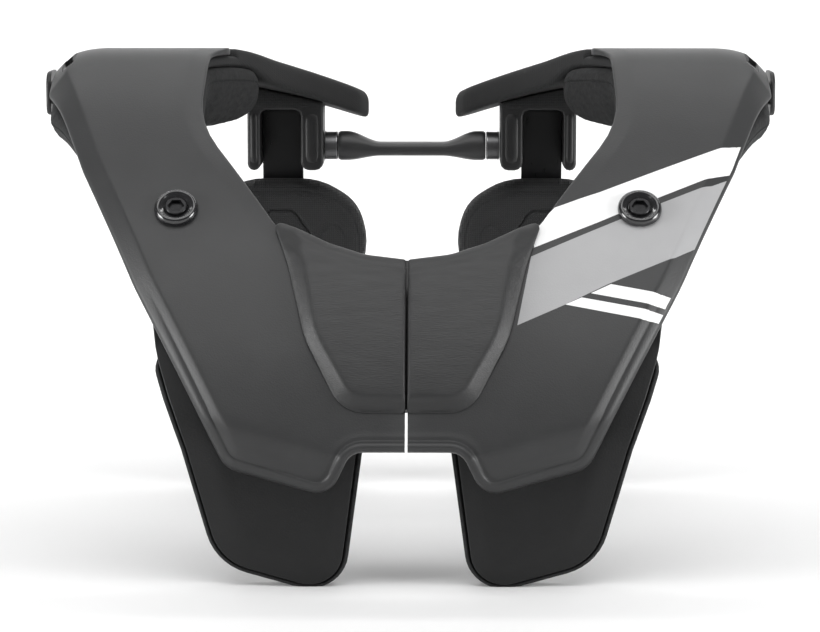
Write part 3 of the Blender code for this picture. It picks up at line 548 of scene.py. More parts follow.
padMesh = knitCover("padMesh", {
    "colour": (0.0125, 0.0127, 0.0131), "roughness": 0.75, "specular": 0.3, "spread": 0.4,
    "sheen": 0.04, "period": 0.0013, "wayA": (0.70, 0.0, 0.71), "wayB": (0.70, 0.0, -0.71),
    "fuzz": 0.35, "grainDepth": 0.00016})
foamGrey = foamSkin("foamGrey", {
    "colour": (0.0175, 0.0178, 0.0182), "roughness": 0.8, "specular": 0.3, "spread": 0.32,
    "grain": 1300.0, "grainDepth": 0.00012})
armGloss = plainGloss("armGloss", {
    "colour": (0.006, 0.006, 0.0065), "roughness": 0.34, "specular": 0.35, "spread": 0.05,
    "wear": 0.0, "grain": 500.0, "grainDepth": 0.000003, "brush": (1, 1, 0.05)})
boltGloss = plainGloss("boltGloss", {
    "colour": (0.010, 0.010, 0.011), "roughness": 0.14, "spread": 0.05, "wear": 0.5,
    "grain": 300.0, "grainDepth": 0.00001, "coat": 0.8})
socketBlack = plainGloss("socketBlack", {
    "colour": (0.012, 0.012, 0.013), "roughness": 0.32, "spread": 0.1, "wear": 0.6,
    "grain": 500.0, "grainDepth": 0.00002, "metallic": 0.6})
spacerAnodised = plainGloss("spacerAnodised", {
    "colour": (0.14, 0.14, 0.143), "roughness": 0.36, "spread": 0.05, "wear": 0.2,
    "grain": 500.0, "grainDepth": 0.00002, "metallic": 0.85, "brush": (8, 1, 1)})
ringBright = plainGloss("ringBright", {
    "colour": (0.42, 0.42, 0.43), "roughness": 0.28, "spread": 0.03, "wear": 0.1,
    "grain": 600.0, "grainDepth": 0.00001, "metallic": 1.0, "brush": (8, 1, 1)})
linkRubber = mouldedPlastic("linkRubber", {
    "colour": (0.029, 0.029, 0.0295), "roughness": 0.42, "spread": 0.1, "wear": 0.2,
    "grain": 1600.0, "grainDepth": 0.00003})
print("finishes made")

shell = {
    "halfGap": 0.00055,       # half of the centre gap at the hem
    "gapTaper": 0.004,        # the gap narrows by this slope above it
    "bareEdge": 0.0010,       # no ink so near the outer edge
    "bareFrom": 0.5,          # share across where the outer edge is that near
    "band": 0.0075,           # width of the folded band along the outer edge
    "bandSoft": 0.006,        # how softly its crease turns
    "edgeRound": 0.0010,
    "edgeWall": 0.0016,
    "lipWidth": 0.0038,       # rolled lip along the lower edge
    # behind the lip: depth as a share of the lip's, place and half width as shares of its width
    "lipGroove": (0.35, 1.12, 0.16),
    "foldFrom": (0.0672, 0.0102),   # outer end of the lower crease, metres across and along
    "foldTo": (0.0344, 0.0006),     # its inner end
    "foldSlope": 0.62,
    "foldSoft": 0.0012,
    "slot": (0.672, 0.0044, 0.0052, 0.020),   # along, edge bar, width, length
    # distances from the edge at which the upper face is cut
    "insets": (0.0, 0.00012, 0.0003, 0.0006, 0.0010, 0.0014, 0.0019, 0.0024, 0.0029, 0.0033,
               0.0036, 0.0039, 0.0043, 0.0048, 0.0055, 0.0062, 0.0069, 0.0075, 0.0081, 0.0090,
               0.0105),
    "rearRows": (7, 8),       # the outline's rows at the two ends of its rear edge
    "cornerRow": 9,           # and at the outer corner, where the slot is
    "outline": [
        # across, along, corner, drop, lip; it runs past the middle, where it is cut
        (-0.100, 0.246, 0.000, 0.0000, 0.0000),
        (0.110, 0.2545, 0.025, 0.0000, 0.0000),
        (0.200, 0.271, 0.020, 0.0000, 0.0000),
        (0.280, 0.295, 0.015, 0.0000, 0.0000),
        (0.337, 0.313, 0.012, 0.0004, 0.0000),
        (0.556, 0.503, 0.060, 0.0014, 0.0000),
        (0.547, 0.677, 0.022, 0.0014, 0.0000),
        (0.480, 0.753, 0.0085, 0.0000, 0.0000),
        (0.850, 0.800, 0.0085, 0.0000, 0.0000),
        (0.981, 0.713, 0.022, 0.0040, 0.0000),
        (0.983, 0.622, 0.014, 0.0060, 0.0000),
        (0.853, 0.420, 0.060, 0.0045, 0.0000),
        (0.697, 0.230, 0.150, 0.0044, 0.0000),
        (0.457, -0.013, 0.010, 0.0046, 0.0009),
        (0.193, -0.051, 0.009, 0.0006, 0.0011),
        (0.137, 0.002, 0.007, -0.0010, 0.0010),
        (-0.100, 0.002, 0.000, -0.0010, 0.0010),
    ],
}

stripes = {
    # each one's corners on the right shell, as shares across and along
    "whiteBand": [(0.339, 0.320), (0.378, 0.343), (0.496, 0.368), (0.838, 0.453),
                  (0.885, 0.467), (0.842, 0.411), (0.788, 0.395), (0.493, 0.319),
                  (0.322, 0.278)],
    "greyBand": [(0.315, 0.265), (0.467, 0.303), (0.787, 0.383), (0.830, 0.400),
                 (0.748, 0.289), (0.682, 0.265), (0.509, 0.225), (0.400, 0.196),
                 (0.278, 0.167)],
    "barUpper": [(0.516, 0.225), (0.633, 0.213), (0.667, 0.211), (0.653, 0.195),
                 (0.614, 0.197), (0.465, 0.212)],
    "barLower": [(0.441, 0.206), (0.601, 0.190), (0.646, 0.187), (0.636, 0.175),
                 (0.594, 0.176), (0.400, 0.196)],
}


def foldDown(co):
    # the lower corner of a front turns down below its crease
    (x0, t0), (x1, t1) = shell["foldFrom"], shell["foldTo"]
    slope = (t0 - t1) / (x0 - x1)
    below = (t1 + (np.abs(co[:, 0]) - x1) * slope - co[:, 1]) / math.hypot(1, slope)
    soft = shell["foldSoft"]
    bend = (below + np.sqrt(below ** 2 + soft ** 2)) / 2
    co[:, 2] -= shell["foldSlope"] * bend
    return co


def shellTop(inset):
    f = 1 - inset / shell["band"]
    share = (f + math.sqrt(f * f + shell["bandSoft"])) / 2
    bead = math.sin(math.pi * min(inset / shell["lipWidth"], 1)) ** 0.8
    deep, spot, wide = shell["lipGroove"]
    groove = math.exp(-((inset / shell["lipWidth"] - spot) / wide) ** 2) * deep
    r = shell["edgeRound"]
    fall = r - math.sqrt(r * r - max(r - inset, 0) ** 2)
    return lambda drop, lip: -drop * share + lip * (bead - groove) - fall


def shellUnder(drop, _):
    return -max(brace["shellWall"], shell["edgeWall"] + drop)


def nearest(co, line):
    # distance to a closed line
    near = np.full(len(co), 1.0)
    for first, second in zip(line, line[1:] + line[:1]):
        start, way = np.array(first[:2]), np.array(second[:2]) - np.array(first[:2])
        u = np.clip((co[:, :2] - start) @ way / max(float(way @ way), 1e-12), 0, 1)
        near = np.minimum(near, np.linalg.norm(co[:, :2] - start - u[:, None] * way, axis=1))
    return near


def shellRows():
    return [[-row[0] * brace["halfSpan"], row[1] * brace["length"], *row[2:]]
            for row in shell["outline"]]


def shellBlank():
    rows = shellRows()
    wall = brace["shellWall"]
    rings = [(shell["band"] * 1.2, -wall), (shell["band"] * 0.9, -wall),
             (0.0005, shellUnder), (0.0, lambda drop, lip: shellUnder(drop, lip) + 0.0003)]
    rings += [(inset, shellTop(inset)) for inset in shell["insets"]]
    bm = ringedBlank(rows, rings)
    bmesh.ops.bisect_plane(bm, geom=bm.verts[:] + bm.edges[:] + bm.faces[:], dist=1e-6,
                           plane_co=(-shell["halfGap"], 0, 0),
                           plane_no=(1, -shell["gapTaper"], 0), clear_outer=True)
    bmesh.ops.holes_fill(bm, edges=[e for e in bm.edges if e.is_boundary])
    return bm


def printStripes(bm):
    # cut along each stripe's sides, and give its faces their ink
    inks = {"whiteBand": 1, "greyBand": 2, "barUpper": 1, "barLower": 1}   # material slots
    facing, pad = 0.3, 0.0005
    edge = outlineLoop(shellRows(), 0.0)
    for name, corners in stripes.items():
        points = [(-x * brace["halfSpan"], t * brace["length"]) for x, t in corners]
        for (x0, t0), (x1, t1) in zip(points, points[1:] + points[:1]):
            near = []
            for f in bm.faces:
                xs = [v.co.x for v in f.verts]
                ts = [v.co.y for v in f.verts]
                if (max(xs) > min(x0, x1) - pad and min(xs) < max(x0, x1) + pad
                        and max(ts) > min(t0, t1) - pad and min(ts) < max(t0, t1) + pad
                        and f.normal.z > facing):
                    near.append(f)
            sliceMesh(bm, (x0, t0, 0), (t1 - t0, x0 - x1, 0), near)
        for f in bm.faces:
            middle = f.calc_center_median()
            if f.normal.z > facing and insidePolygon(middle, points):
                outer = middle.x < -shell["bareFrom"] * brace["halfSpan"]
                if not outer or nearest(np.array([middle]), edge)[0] > shell["bareEdge"]:
                    f.material_index = inks[name]


def insidePolygon(point, corners):
    inside = False
    for (x0, y0), (x1, y1) in zip(corners, corners[1:] + corners[:1]):
        if (y0 > point.y) != (y1 > point.y):
            if point.x < x0 + (point.y - y0) * (x1 - x0) / (y1 - y0):
                inside = not inside
    return inside


def slotCutter(side):
    along, bar, width, length = shell["slot"]
    outer = shell["outline"][shell["cornerRow"]][0] * brace["halfSpan"]
    rows = []
    for px, pt in ((-1, -1), (1, -1), (1, 1), (-1, 1)):
        rows.append([-(outer - bar - width / 2) + px * width / 2,
                     along * brace["length"] + pt * length / 2, width * 0.48])
    rings = [(0.0, -4 * brace["shellWall"]), (0.0, 0.0005), (-0.0007, 0.006)]
    bm = ringedBlank(rows, rings, 0.002, 0.01)
    layOver(bm, drape)
    if side > 0:
        bm = mirrored(bm)
    return newObject("slotCutter", newMesh("slotCutter", bm))


def cutSlot(piece, side):
    cutter = slotCutter(side)
    cut = piece.modifiers.new("slot", "BOOLEAN")
    cut.operation = "DIFFERENCE"
    cut.object = cutter
    applyModifiers(piece)
    bpy.data.objects.remove(cutter)


def applyModifiers(piece):
    bpy.context.view_layer.update()
    graph = bpy.context.evaluated_depsgraph_get()
    made = bpy.data.meshes.new_from_object(piece.evaluated_get(graph))
    old = piece.data
    piece.modifiers.clear()
    piece.data = made
    bpy.data.meshes.remove(old)


def makeShells():
    plain = shellBlank()
    printed = plain.copy()
    printStripes(printed)
    layOver(plain, drape, foldDown)
    layOver(printed, drape, foldDown)
    finishes = [shellPlastic, printWhite, printGrey]
    left = addPiece("frontShellLeft", plain, ["front_shell_left"], finishes)
    right = addPiece("frontShellRight", mirrored(printed), ["front_shell_right"],
                     finishes)
    printed.free()
    cutSlot(left, -1)
    cutSlot(right, 1)


makeShells()
print("shells made")

frontPad = {
    "rise": 0.0042,           # over the drape
    "lowRound": 0.0009,
    "edgeRound": 0.0008,
    "grid": 0.0012,
    "swell": 0.0008,          # the most that the cloth run moves it
    "soft": 0.008,            # how softly the bevels turn
    "wideBevel": 0.004,       # from this width on a bevel has no roll beside it
    "halfGap": 0.0004,
    "roll": (0.0035, 0.0030, 0.0006),   # valley below the upper edge: place, reach and depth
    "outline": [
        # across, along, corner, fall of the edge, width of its bevel
        (0.000, 0.2545, 0.001, 0.0010, 0.0030),
        (0.110, 0.262, 0.025, 0.0010, 0.0030),
        (0.200, 0.2785, 0.020, 0.0010, 0.0032),
        (0.290, 0.303, 0.020, 0.0010, 0.0035),
        (0.349, 0.323, 0.0020, 0.0030, 0.0085),
        (0.303, 0.250, 0.060, 0.0030, 0.0065),
        (0.257, 0.147, 0.045, 0.0028, 0.0048),
        (0.160, 0.051, 0.014, 0.0041, 0.0050),
        (0.000, 0.050, 0.0015, 0.0, 0.0),
    ],
}


def toEdges(co, loop):
    # each segment's distance from the points, and its fall and width there
    for (x0, t0, fall0, wide0), (x1, t1, fall1, wide1) in zip(loop, loop[1:] + loop[:1]):
        if not wide0:
            continue
        start, way = np.array([x0, t0]), np.array([x1 - x0, t1 - t0])
        size = max(float(way @ way), 1e-12)
        u = np.clip((co[:, :2] - start) @ way / size, 0, 1)
        far = np.linalg.norm(co[:, :2] - start - u[:, None] * way, axis=1)
        fall = fall0 + ((fall1 or fall0) - fall0) * u
        yield far, fall, wide0 + ((wide1 or wide0) - wide0) * u


def bevelled(co, loop, low, high, soft, least=0.0):
    # the face falls to its edges, and meets in mitres at the corners; least is left standing
    down = np.zeros(len(co))
    for far, fall, wide in toEdges(co, loop):
        f = 1 - far / wide
        down = np.maximum(down, fall * (f + np.sqrt(f * f + soft)) / 2)
    down = np.minimum(down, high - low - least)
    co[:, 2] -= down * np.clip((co[:, 2] - low) / (high - low), 0, 1)
    return co


def makeFrontPads():
    rows = [onDrape(row) for row in frontPad["outline"]]
    for row in rows:
        row[0] = -frontPad["halfGap"] if row[0] == -brace["halfGap"] else row[0]
    low, high = brace["gap"], brace["gap"] + frontPad["rise"]
    loop = outlineLoop(rows, 0.0)
    bm = ringedBlank(rows, slabRings(low, high, frontPad["lowRound"], frontPad["edgeRound"]),
                     frontPad["grid"], frontPad["grid"])
    swell(bm, lambda co: np.clip(1 - (co[:, 2] - low) / (high - low), 0, 1) > 0.02,
          frontPad["swell"])

    def shaped(co):
        co = bevelled(co, loop, low, high, frontPad["soft"])
        spot, reach, depth = frontPad["roll"]
        near = np.full(len(co), 1.0)
        for far, _, wide in toEdges(co, loop):
            near = np.where((wide < frontPad["wideBevel"]) & (far < near), far, near)
        raised = np.clip((co[:, 2] - low) / (high - low) * 2 - 1, 0, 1)
        co[:, 2] -= depth * raised * np.exp(-((near - spot - reach) / reach) ** 2)
        return co

    layOver(bm, drape, shaped)
    return addPair("frontPad", bm, "front_pad", [padLeather])


for pad in makeFrontPads():
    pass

halfFrame = {
    "lowRound": 0.0022,
    "highRound": 0.0030,
    # hollow over the shoulder pad: its depth, and shares along from where and within what
    # reach it deepens, and up to where and within what reach it runs out
    "nest": (0.0035, 0.62, 0.06, 0.812, 0.035),
    "step": (0.0004, 0.0022),   # behind the shell, where the bare arm rises: start and reach
    "stepCuts": (0.0003, 0.0006, 0.0010, 0.0016, 0.0026, 0.0038),   # edges that form the step
    "outline": [
        # across, along, corner
        (0.000, 0.244, 0.000), (0.113, 0.250, 0.025), (0.200, 0.2665, 0.020),
        (0.283, 0.288, 0.020), (0.367, 0.310, 0.012), (0.576, 0.503, 0.060),
        (0.567, 0.672, 0.024), (0.480, 0.757, 0.030), (0.307, 0.853, 0.060),
        (0.153, 0.923, 0.018), (0.120, 0.958, 0.006), (0.160, 0.983, 0.009),
        (0.413, 0.969, 0.050), (0.740, 0.877, 0.060), (0.823, 0.798, 0.030),
        (0.893, 0.690, 0.040), (0.907, 0.580, 0.014), (0.785, 0.420, 0.060),
        (0.625, 0.230, 0.150), (0.410, 0.022, 0.012), (0.210, -0.014, 0.006),
        (0.160, 0.038, 0.006), (0.000, 0.038, 0.000),
    ],
}


def shellRearEdge():
    # a point of the shells' rear edges, and the way straight back from them
    inner, outer = (np.array(onDrape(shell["outline"][i])[:2]) for i in shell["rearRows"])
    way = (outer - inner) / np.linalg.norm(outer - inner)
    back = np.array([way[1], -way[0]])
    return inner, -back if back[1] < 0 else back


def nest(co):
    # how far the frame is hollowed above its shoulder pad
    ts = co[:, 1] / brace["length"]
    deep, start, rise, end, fall = halfFrame["nest"]
    near = np.clip((ts - start) / rise, 0, 1) * np.clip((end - ts) / fall, 0, 1)
    return deep * near * near * (3 - 2 * near)


def makeFrames():
    rows = [onDrape(row) for row in halfFrame["outline"]]
    rings = slabRings(frameBottom, frameTop, halfFrame["lowRound"], halfFrame["highRound"])
    bm = ringedBlank(rows, rings, 0.003, 0.005)
    inner, back = shellRearEdge()
    for cut in halfFrame["stepCuts"]:
        sliceMesh(bm, (*(inner + back * cut), 0), (*back, 0))

    def stepped(co):
        # bare behind the shell, where it stands as high as the shell does
        start, reach = halfFrame["step"]
        lift = np.clip(((co[:, :2] - inner) @ back - start) / reach, 0, 1)
        lift = np.sqrt(1 - (1 - lift) ** 2)
        upper = np.clip((co[:, 2] - frameBottom) / (frameTop - frameBottom), 0, 1)
        co[:, 2] -= frameTop * lift * upper
        co[:, 2] += nest(co) * (1 - upper)
        return foldDown(co)

    layOver(bm, drape, stepped)
    addPair("halfFrame", bm, "frame", [armKnit])


makeFrames()
print("front pads and frames made")

shoulderPad = {
    "thickness": 0.015,
    "rounds": (0.0105, 0.003),   # of the lower edge and the upper
    "seam": (0.0036, 0.0004),   # below the top, and how deep
    "swell": 0.0026,
    # added at the front, taken off behind, and shares along from where and within what reach
    "deeper": (0.0045, 0.0060, 0.745, 0.070),
    "outline": [
        # across, along, corner
        (0.600, 0.455, 0.012), (0.557, 0.515, 0.040), (0.557, 0.677, 0.020),
        (0.402, 0.800, 0.016), (0.533, 0.868, 0.014), (0.787, 0.820, 0.030),
        (0.980, 0.713, 0.020), (0.980, 0.592, 0.024), (0.880, 0.490, 0.014),
    ],
}


def makeShoulderPads():
    rows = [onDrape(row) for row in shoulderPad["outline"]]
    thickness = shoulderPad["thickness"]
    steps = 6
    rings = slabRings(underFrame - thickness, underFrame, *shoulderPad["rounds"], steps)
    down, deep = shoulderPad["seam"]
    seam = [(0.0, down + deep), (deep * 0.6, down + deep * 0.4), (deep, down),
            (deep * 0.6, down - deep * 0.4), (0.0, down - deep)]
    rings[steps + 1:steps + 1] = [(inset, underFrame - fall) for inset, fall in seam]
    bm = ringedBlank(rows, rings, 0.0025, 0.0025)
    swell(bm, lambda co: co[:, 2] > underFrame - down - 2 * deep, shoulderPad["swell"])

    def shaped(co):
        front, back, turn, reach = shoulderPad["deeper"]
        upper = np.clip((co[:, 2] - underFrame) / thickness + 1, 0, 1)
        share = np.clip((co[:, 1] / brace["length"] - turn) / reach, 0, 1.2)
        co[:, 2] += (back * share ** 1.4 - front) * (1 - upper)
        co[:, 2] += nest(co) * upper
        return co

    layOver(bm, drape, shaped)
    return addPair("shoulderPad", bm, "shoulder_pad", [foamGrey])


shoulderPads = makeShoulderPads()

chestPad = {
    "foam": 0.0095,           # thickness
    "foamRound": 0.0035,
    "swell": 0.0012,
    "rim": 0.0022,            # foam that shows round the plate
    "outline": [
        # across, along, corner
        (0.163, -1.044, 0.015), (0.484, -0.800, 0.022), (0.647, 0.135, 0.012),
        (0.587, 0.177, 0.010), (0.300, 0.187, 0.012), (0.082, 0.113, 0.010),
    ],
    # the plate's arm takes the place of the outline's fourth corner
    "arm": [(0.640, 0.155, 0.006), (0.690, 0.345, 0.012), (0.500, 0.385, 0.012),
            (0.430, 0.190, 0.015)],
    # fall and width of the plate's bevel, from its lower end round to the inner side
    "bevels": [(0.0016, 0.0070), (0.0019, 0.0095), (0.0019, 0.0095), (0, 0), (0, 0), (0, 0),
               (0, 0), (0, 0), (0.0014, 0.0055)],
    "crevice": 0.0012,        # round the plate, in the foam
    "plateGrid": 0.0018,
    "soft": 0.01,             # how softly the bevels turn
    "least": 0.0005,          # of the plate that a bevel leaves standing
}


def insetRows(rows, inset):
    loop = outlineLoop([[x, t, 0.0] for x, t, _ in rows], inset)
    return [[x, t, max(row[2] - inset, inset)] for (x, t), row in zip(loop, rows)]


def standOnFloor(bm):
    for v in bm.verts:
        v.co.z = max(v.co.z, 0.0)


def makeChestPads():
    foam = [onChest(row) for row in chestPad["outline"]]
    top = plateBottom - brace["gap"]
    rings = slabRings(top - chestPad["foam"], top, chestPad["foamRound"], 0.0012)
    rim, deep = chestPad["rim"], chestPad["crevice"]
    rings += [(rim - 0.0008, top - 0.0001), (rim - 0.0005, top - deep * 0.6),
              (rim, top - deep), (rim + 0.0006, top - deep)]
    bm = ringedBlank(foam, rings, 0.003, 0.003)
    swell(bm, lambda co: co[:, 2] > top - chestPad["foam"] * 0.5, chestPad["swell"])
    layOver(bm, chestCurve)
    standOnFloor(bm)
    foams = addPair("chestFoam", bm, "chest_foam", [foamGrey])
    rows = insetRows(foam, chestPad["rim"])
    rows = rows[:3] + [onChest(row) for row in chestPad["arm"]] + rows[4:]
    rows = [[*row, *bevel] for row, bevel in zip(rows, chestPad["bevels"])]
    loop = outlineLoop(rows, 0.0)
    bm = ringedBlank(rows, slabRings(plateBottom, underFrame, 0.0004, 0.0006),
                     chestPad["plateGrid"], chestPad["plateGrid"])
    layOver(bm, chestCurve, lambda co: bevelled(co, loop, plateBottom, underFrame,
                                                chestPad["soft"], chestPad["least"]))
    addPair("chestPlate", bm, "chest_plate", [platePlastic])
    return foams


chestFoams = makeChestPads()
print("shoulder and chest pads made")

bolt = {
    "place": (0.596, 0.338),  # across, along
    "radius": 0.0085,
    "height": 0.0026,
    # shares of radius and height, up the cap's side and down into its dish
    "cap": [(1.0, 0.0), (1.0, 0.35), (0.985, 0.52), (0.955, 0.72), (0.915, 0.88), (0.87, 0.97),
            (0.83, 1.0), (0.79, 0.985), (0.76, 0.93), (0.70, 0.82), (0.62, 0.70)],
    "screw": 0.0042,          # radius of its head
    "screwRise": 0.8,         # share of the cap's height
    "hex": 0.0031,
    "hexDepth": 0.0015,
    "sides": 64,
}


def turnedLoops(profile, sides):
    angles = [2 * math.pi * k / sides for k in range(sides)]
    return [[(r * math.cos(a), r * math.sin(a), z) for a in angles] for r, z in profile]


def makeBolts():
    r, h, hole = bolt["radius"], bolt["height"], bolt["screw"] + brace["gap"]
    cap = [(hole, 0.0)] + [(r * out, h * up) for out, up in bolt["cap"]]
    cap += [(hole + 0.0004, h * 0.58), (hole, h * 0.50)]
    head = h * bolt["screwRise"]
    screw = [(bolt["screw"] * out, head * up)
             for out, up in ((1.0, 0.0), (1.0, 0.8), (0.97, 0.92), (0.92, 1.0))]
    x, t = -bolt["place"][0] * brace["halfSpan"], bolt["place"][1] * brace["length"]
    tilt = np.interp(t, drape["t"], drape["a"])
    for side, word in ((1, "Left"), (-1, "Right")):
        centre = placeOne(drape, x * side, t, brace["gap"])
        turn = Matrix.Translation(centre) @ Matrix.Rotation(math.pi / 2 - tilt, 4, "X")
        bm = skinLoops(turnedLoops(cap, bolt["sides"]), closed=True)
        bm.transform(turn)
        addPiece("boltCap" + word, bm, ["bolt_cap_" + word.lower()], [boltGloss])
        loops = turnedLoops(screw, bolt["sides"])
        for level, grow in ((head, 1.06), (head - 0.0003, 1.0), (head - bolt["hexDepth"], 1.0)):
            loop = []
            for k in range(bolt["sides"]):
                a = 2 * math.pi * k / bolt["sides"]
                wedge = (a % (math.pi / 3)) - math.pi / 6
                reach = bolt["hex"] * grow * math.cos(math.pi / 6) / math.cos(wedge)
                loop.append((reach * math.cos(a), reach * math.sin(a), level))
            loops.append(loop)
        bm = skinLoops(loops)
        bm.transform(turn)
        addPiece("boltScrew" + word, bm, ["bolt_screw_" + word.lower()], [socketBlack])


makeBolts()

clip = {
    "place": 0.722,           # share along
    "rise": 0.0085,           # its top over the pad's
    "height": 0.018,
    "length": 0.024,
    "corners": (0.004, 0.006),   # lower and upper
    "seat": 0.0012,           # height of the foot between the pad and the plate
    "rim": 0.0045,            # how far in from the plate's edge that foot starts
    "wall": 0.0020,
}


def makeClips():
    # plates on the outside of the shoulder pads
    seat = shoulderPad["outline"][6][0] * brace["halfSpan"] + brace["gap"]
    middle = placeOne(drape, -seat, clip["place"] * brace["length"], underFrame)
    top = middle.z + clip["rise"]
    low, high = middle.y - clip["length"] / 2, middle.y + clip["length"] / 2
    under, over = clip["corners"]
    rows = [[low, top - clip["height"], under], [high, top - clip["height"], under],
            [high, top, over], [low, top, over]]
    rings = [(clip["rim"], 0.0), (clip["rim"], clip["seat"])]
    rings += slabRings(clip["seat"], clip["seat"] + clip["wall"], 0.0003, 0.0010)
    bm = ringedBlank(rows, rings, 0.004, 0.004)
    for v in bm.verts:
        y, z, out = v.co
        v.co = (-(seat + out), y, z)
    bmesh.ops.reverse_faces(bm, faces=bm.faces[:])
    addPair("sideClip", bm, "side_clip", [framePlastic])


makeClips()

rear = {
    "arm": 0.057,             # centre of each back support
    "armWidth": 0.0172,
    "armWall": 0.0025,
    "armEnd": 0.5,            # share of the pad that its arm reaches down
    "armEndRound": 0.9,       # share of its half width
    "place": 0.928,           # share along the drape
    "outerFin": 0.0052,       # widths of the bracket's fins
    "innerFin": 0.0094,
    "depth": 0.024,
    "height": 0.0325,
    "web": 0.0025,            # what joins the fins under the rear arm
    "webCorner": 0.0025,
    "finRound": 0.0036,
    "edge": 0.0012,
    "close": 0.00042,         # the fins stand closer to the arm than its fitting room
    "knitBelow": 0.0012,      # over the web's underside, where the arm's knit ends
    "rib": (0.64, 0.0006, 0.0022),   # share of the fin's width, height, distance from its end
    "ribSunk": 0.0006,        # how far it starts inside the fin
    "linkRise": 0.0100,       # its middle over the fins' lower ends
    "spacer": (0.0063, 0.0056),     # radius, length
    "linkEnd": 0.0064,        # radius at its ends
    "linkMiddle": (0.0030, 0.0060),  # half height, half depth
    "linkTaper": (0.42, 0.46),       # share out where it starts to thicken, and reach
    "linkSag": 0.4,
    "linkSquare": 0.62,       # squareness of its middle, where 1 is round as at its ends
    "linkChamfer": (0.97, 0.0006),   # share out where it starts, and its size
    "linkRings": 60,
    "linkSides": 40,
    "padHalfWidth": 0.0365,
    "padThickness": 0.0105,
    "padRim": 0.0024,
    "plateWall": 0.0025,
    "padBelow": 0.005,        # its top under the fins' lower ends
    "sunk": 0.0009,           # how far its end runs into the floor, where it is flattened
    "leans": [(0.0, 12.0), (0.12, 12.0), (0.24, 8.0), (0.48, 0.0),
              (1.0, -4.0)],   # share down, degrees from vertical
}
rearAt = rear["place"] * brace["length"]
rearMiddle = placeOne(drape, -rear["arm"], rearAt, underFrame)
rearSlope = 1 / math.tan(np.interp(rearAt, drape["t"], drape["a"]))
room = rear["armWidth"] / 2 + 2 * brace["gap"]


def underArm(x, y):
    drop = sinkAt(np.array([x]), np.array([rearAt]))[0]
    level = sinkAt(np.array([rear["arm"]]), np.array([rearAt]))[0]
    return rearMiddle.z + (y - rearMiddle.y) * rearSlope - (drop - level)


webBottom = underArm(rear["arm"] - room, rearMiddle.y + rear["depth"] / 2) - rear["web"]
finBottom = rearMiddle.z - rear["height"]
linkHeight = finBottom + rear["linkRise"]
linkInner = rear["arm"] - room - rear["innerFin"]


def makeBrackets():
    far, near = -(rear["arm"] + room + rear["outerFin"]), -linkInner
    close = room - rear["close"]
    left, right = -(rear["arm"] + close), -(rear["arm"] - close)
    r = rear["finRound"]
    across = [far + (near - far) * k / 6 for k in range(6, -1, -1)]
    rows = [[x, rearMiddle.z, 0.0, True] for x in across]
    for x, z, corner in ((far, finBottom, r * 0.8), (left, finBottom, r * 0.8),
                         (left, webBottom, rear["webCorner"]),
                         (right, webBottom, rear["webCorner"]),
                         (right, finBottom, r), (near, finBottom, r)):
        rows.append([x, z, corner, False])
    edge, half = rear["edge"], rear["depth"] / 2
    loops = []
    for inset, y in slabRings(-half, half, edge, edge):
        loop = []
        for x, z, atTop in outlineLoop(rows, inset):
            height = underArm(abs(x), rearMiddle.y + y) - inset if atTop else z
            loop.append((x, rearMiddle.y + y, height))
        loops.append(loop)
    bm = skinLoops(loops)
    # the knit of the arm comes down over the web
    sliceMesh(bm, (0, 0, webBottom + rear["knitBelow"]), (0, 0, 1))
    for f in bm.faces:
        f.material_index = int(f.calc_center_median().z > webBottom + rear["knitBelow"])
    for side in ((far, left), (right, near)):
        addRib(bm, *side)
    bmesh.ops.triangulate(bm, faces=bm.faces[:])
    addPair("rearBracket", bm, "rear_bracket", [framePlastic, armKnit])


def addRib(bm, low, high):
    # rounded rib down the front of a fin
    share, proud, short = rear["rib"]
    middle, half = (low + high) / 2, (high - low) / 2 * share
    front = rearMiddle.y - rear["depth"] / 2
    bottom, top = finBottom + short, webBottom - 0.0005
    sunk = rear["ribSunk"]
    loops = []
    rings, sides = 12, 20
    for k in range(rings + 1):
        f = k / rings
        z = bottom + (top - bottom) * f
        end = min(f, 1 - f) * (top - bottom) / (half * 1.2)
        size = math.sqrt(max(0.0, 1 - max(0.0, 1 - end) ** 2)) * 0.98 + 0.02
        loops.append([(middle + half * size * math.cos(a),
                       front + sunk - (proud + sunk) * size * max(math.sin(a), 0.0)
                       + 0.0005 * max(-math.sin(a), 0.0), z)
                      for a in [2 * math.pi * j / sides for j in range(sides)]])
    mesh = newMesh("rib", skinLoops(loops))
    bm.from_mesh(mesh)
    bpy.data.meshes.remove(mesh)


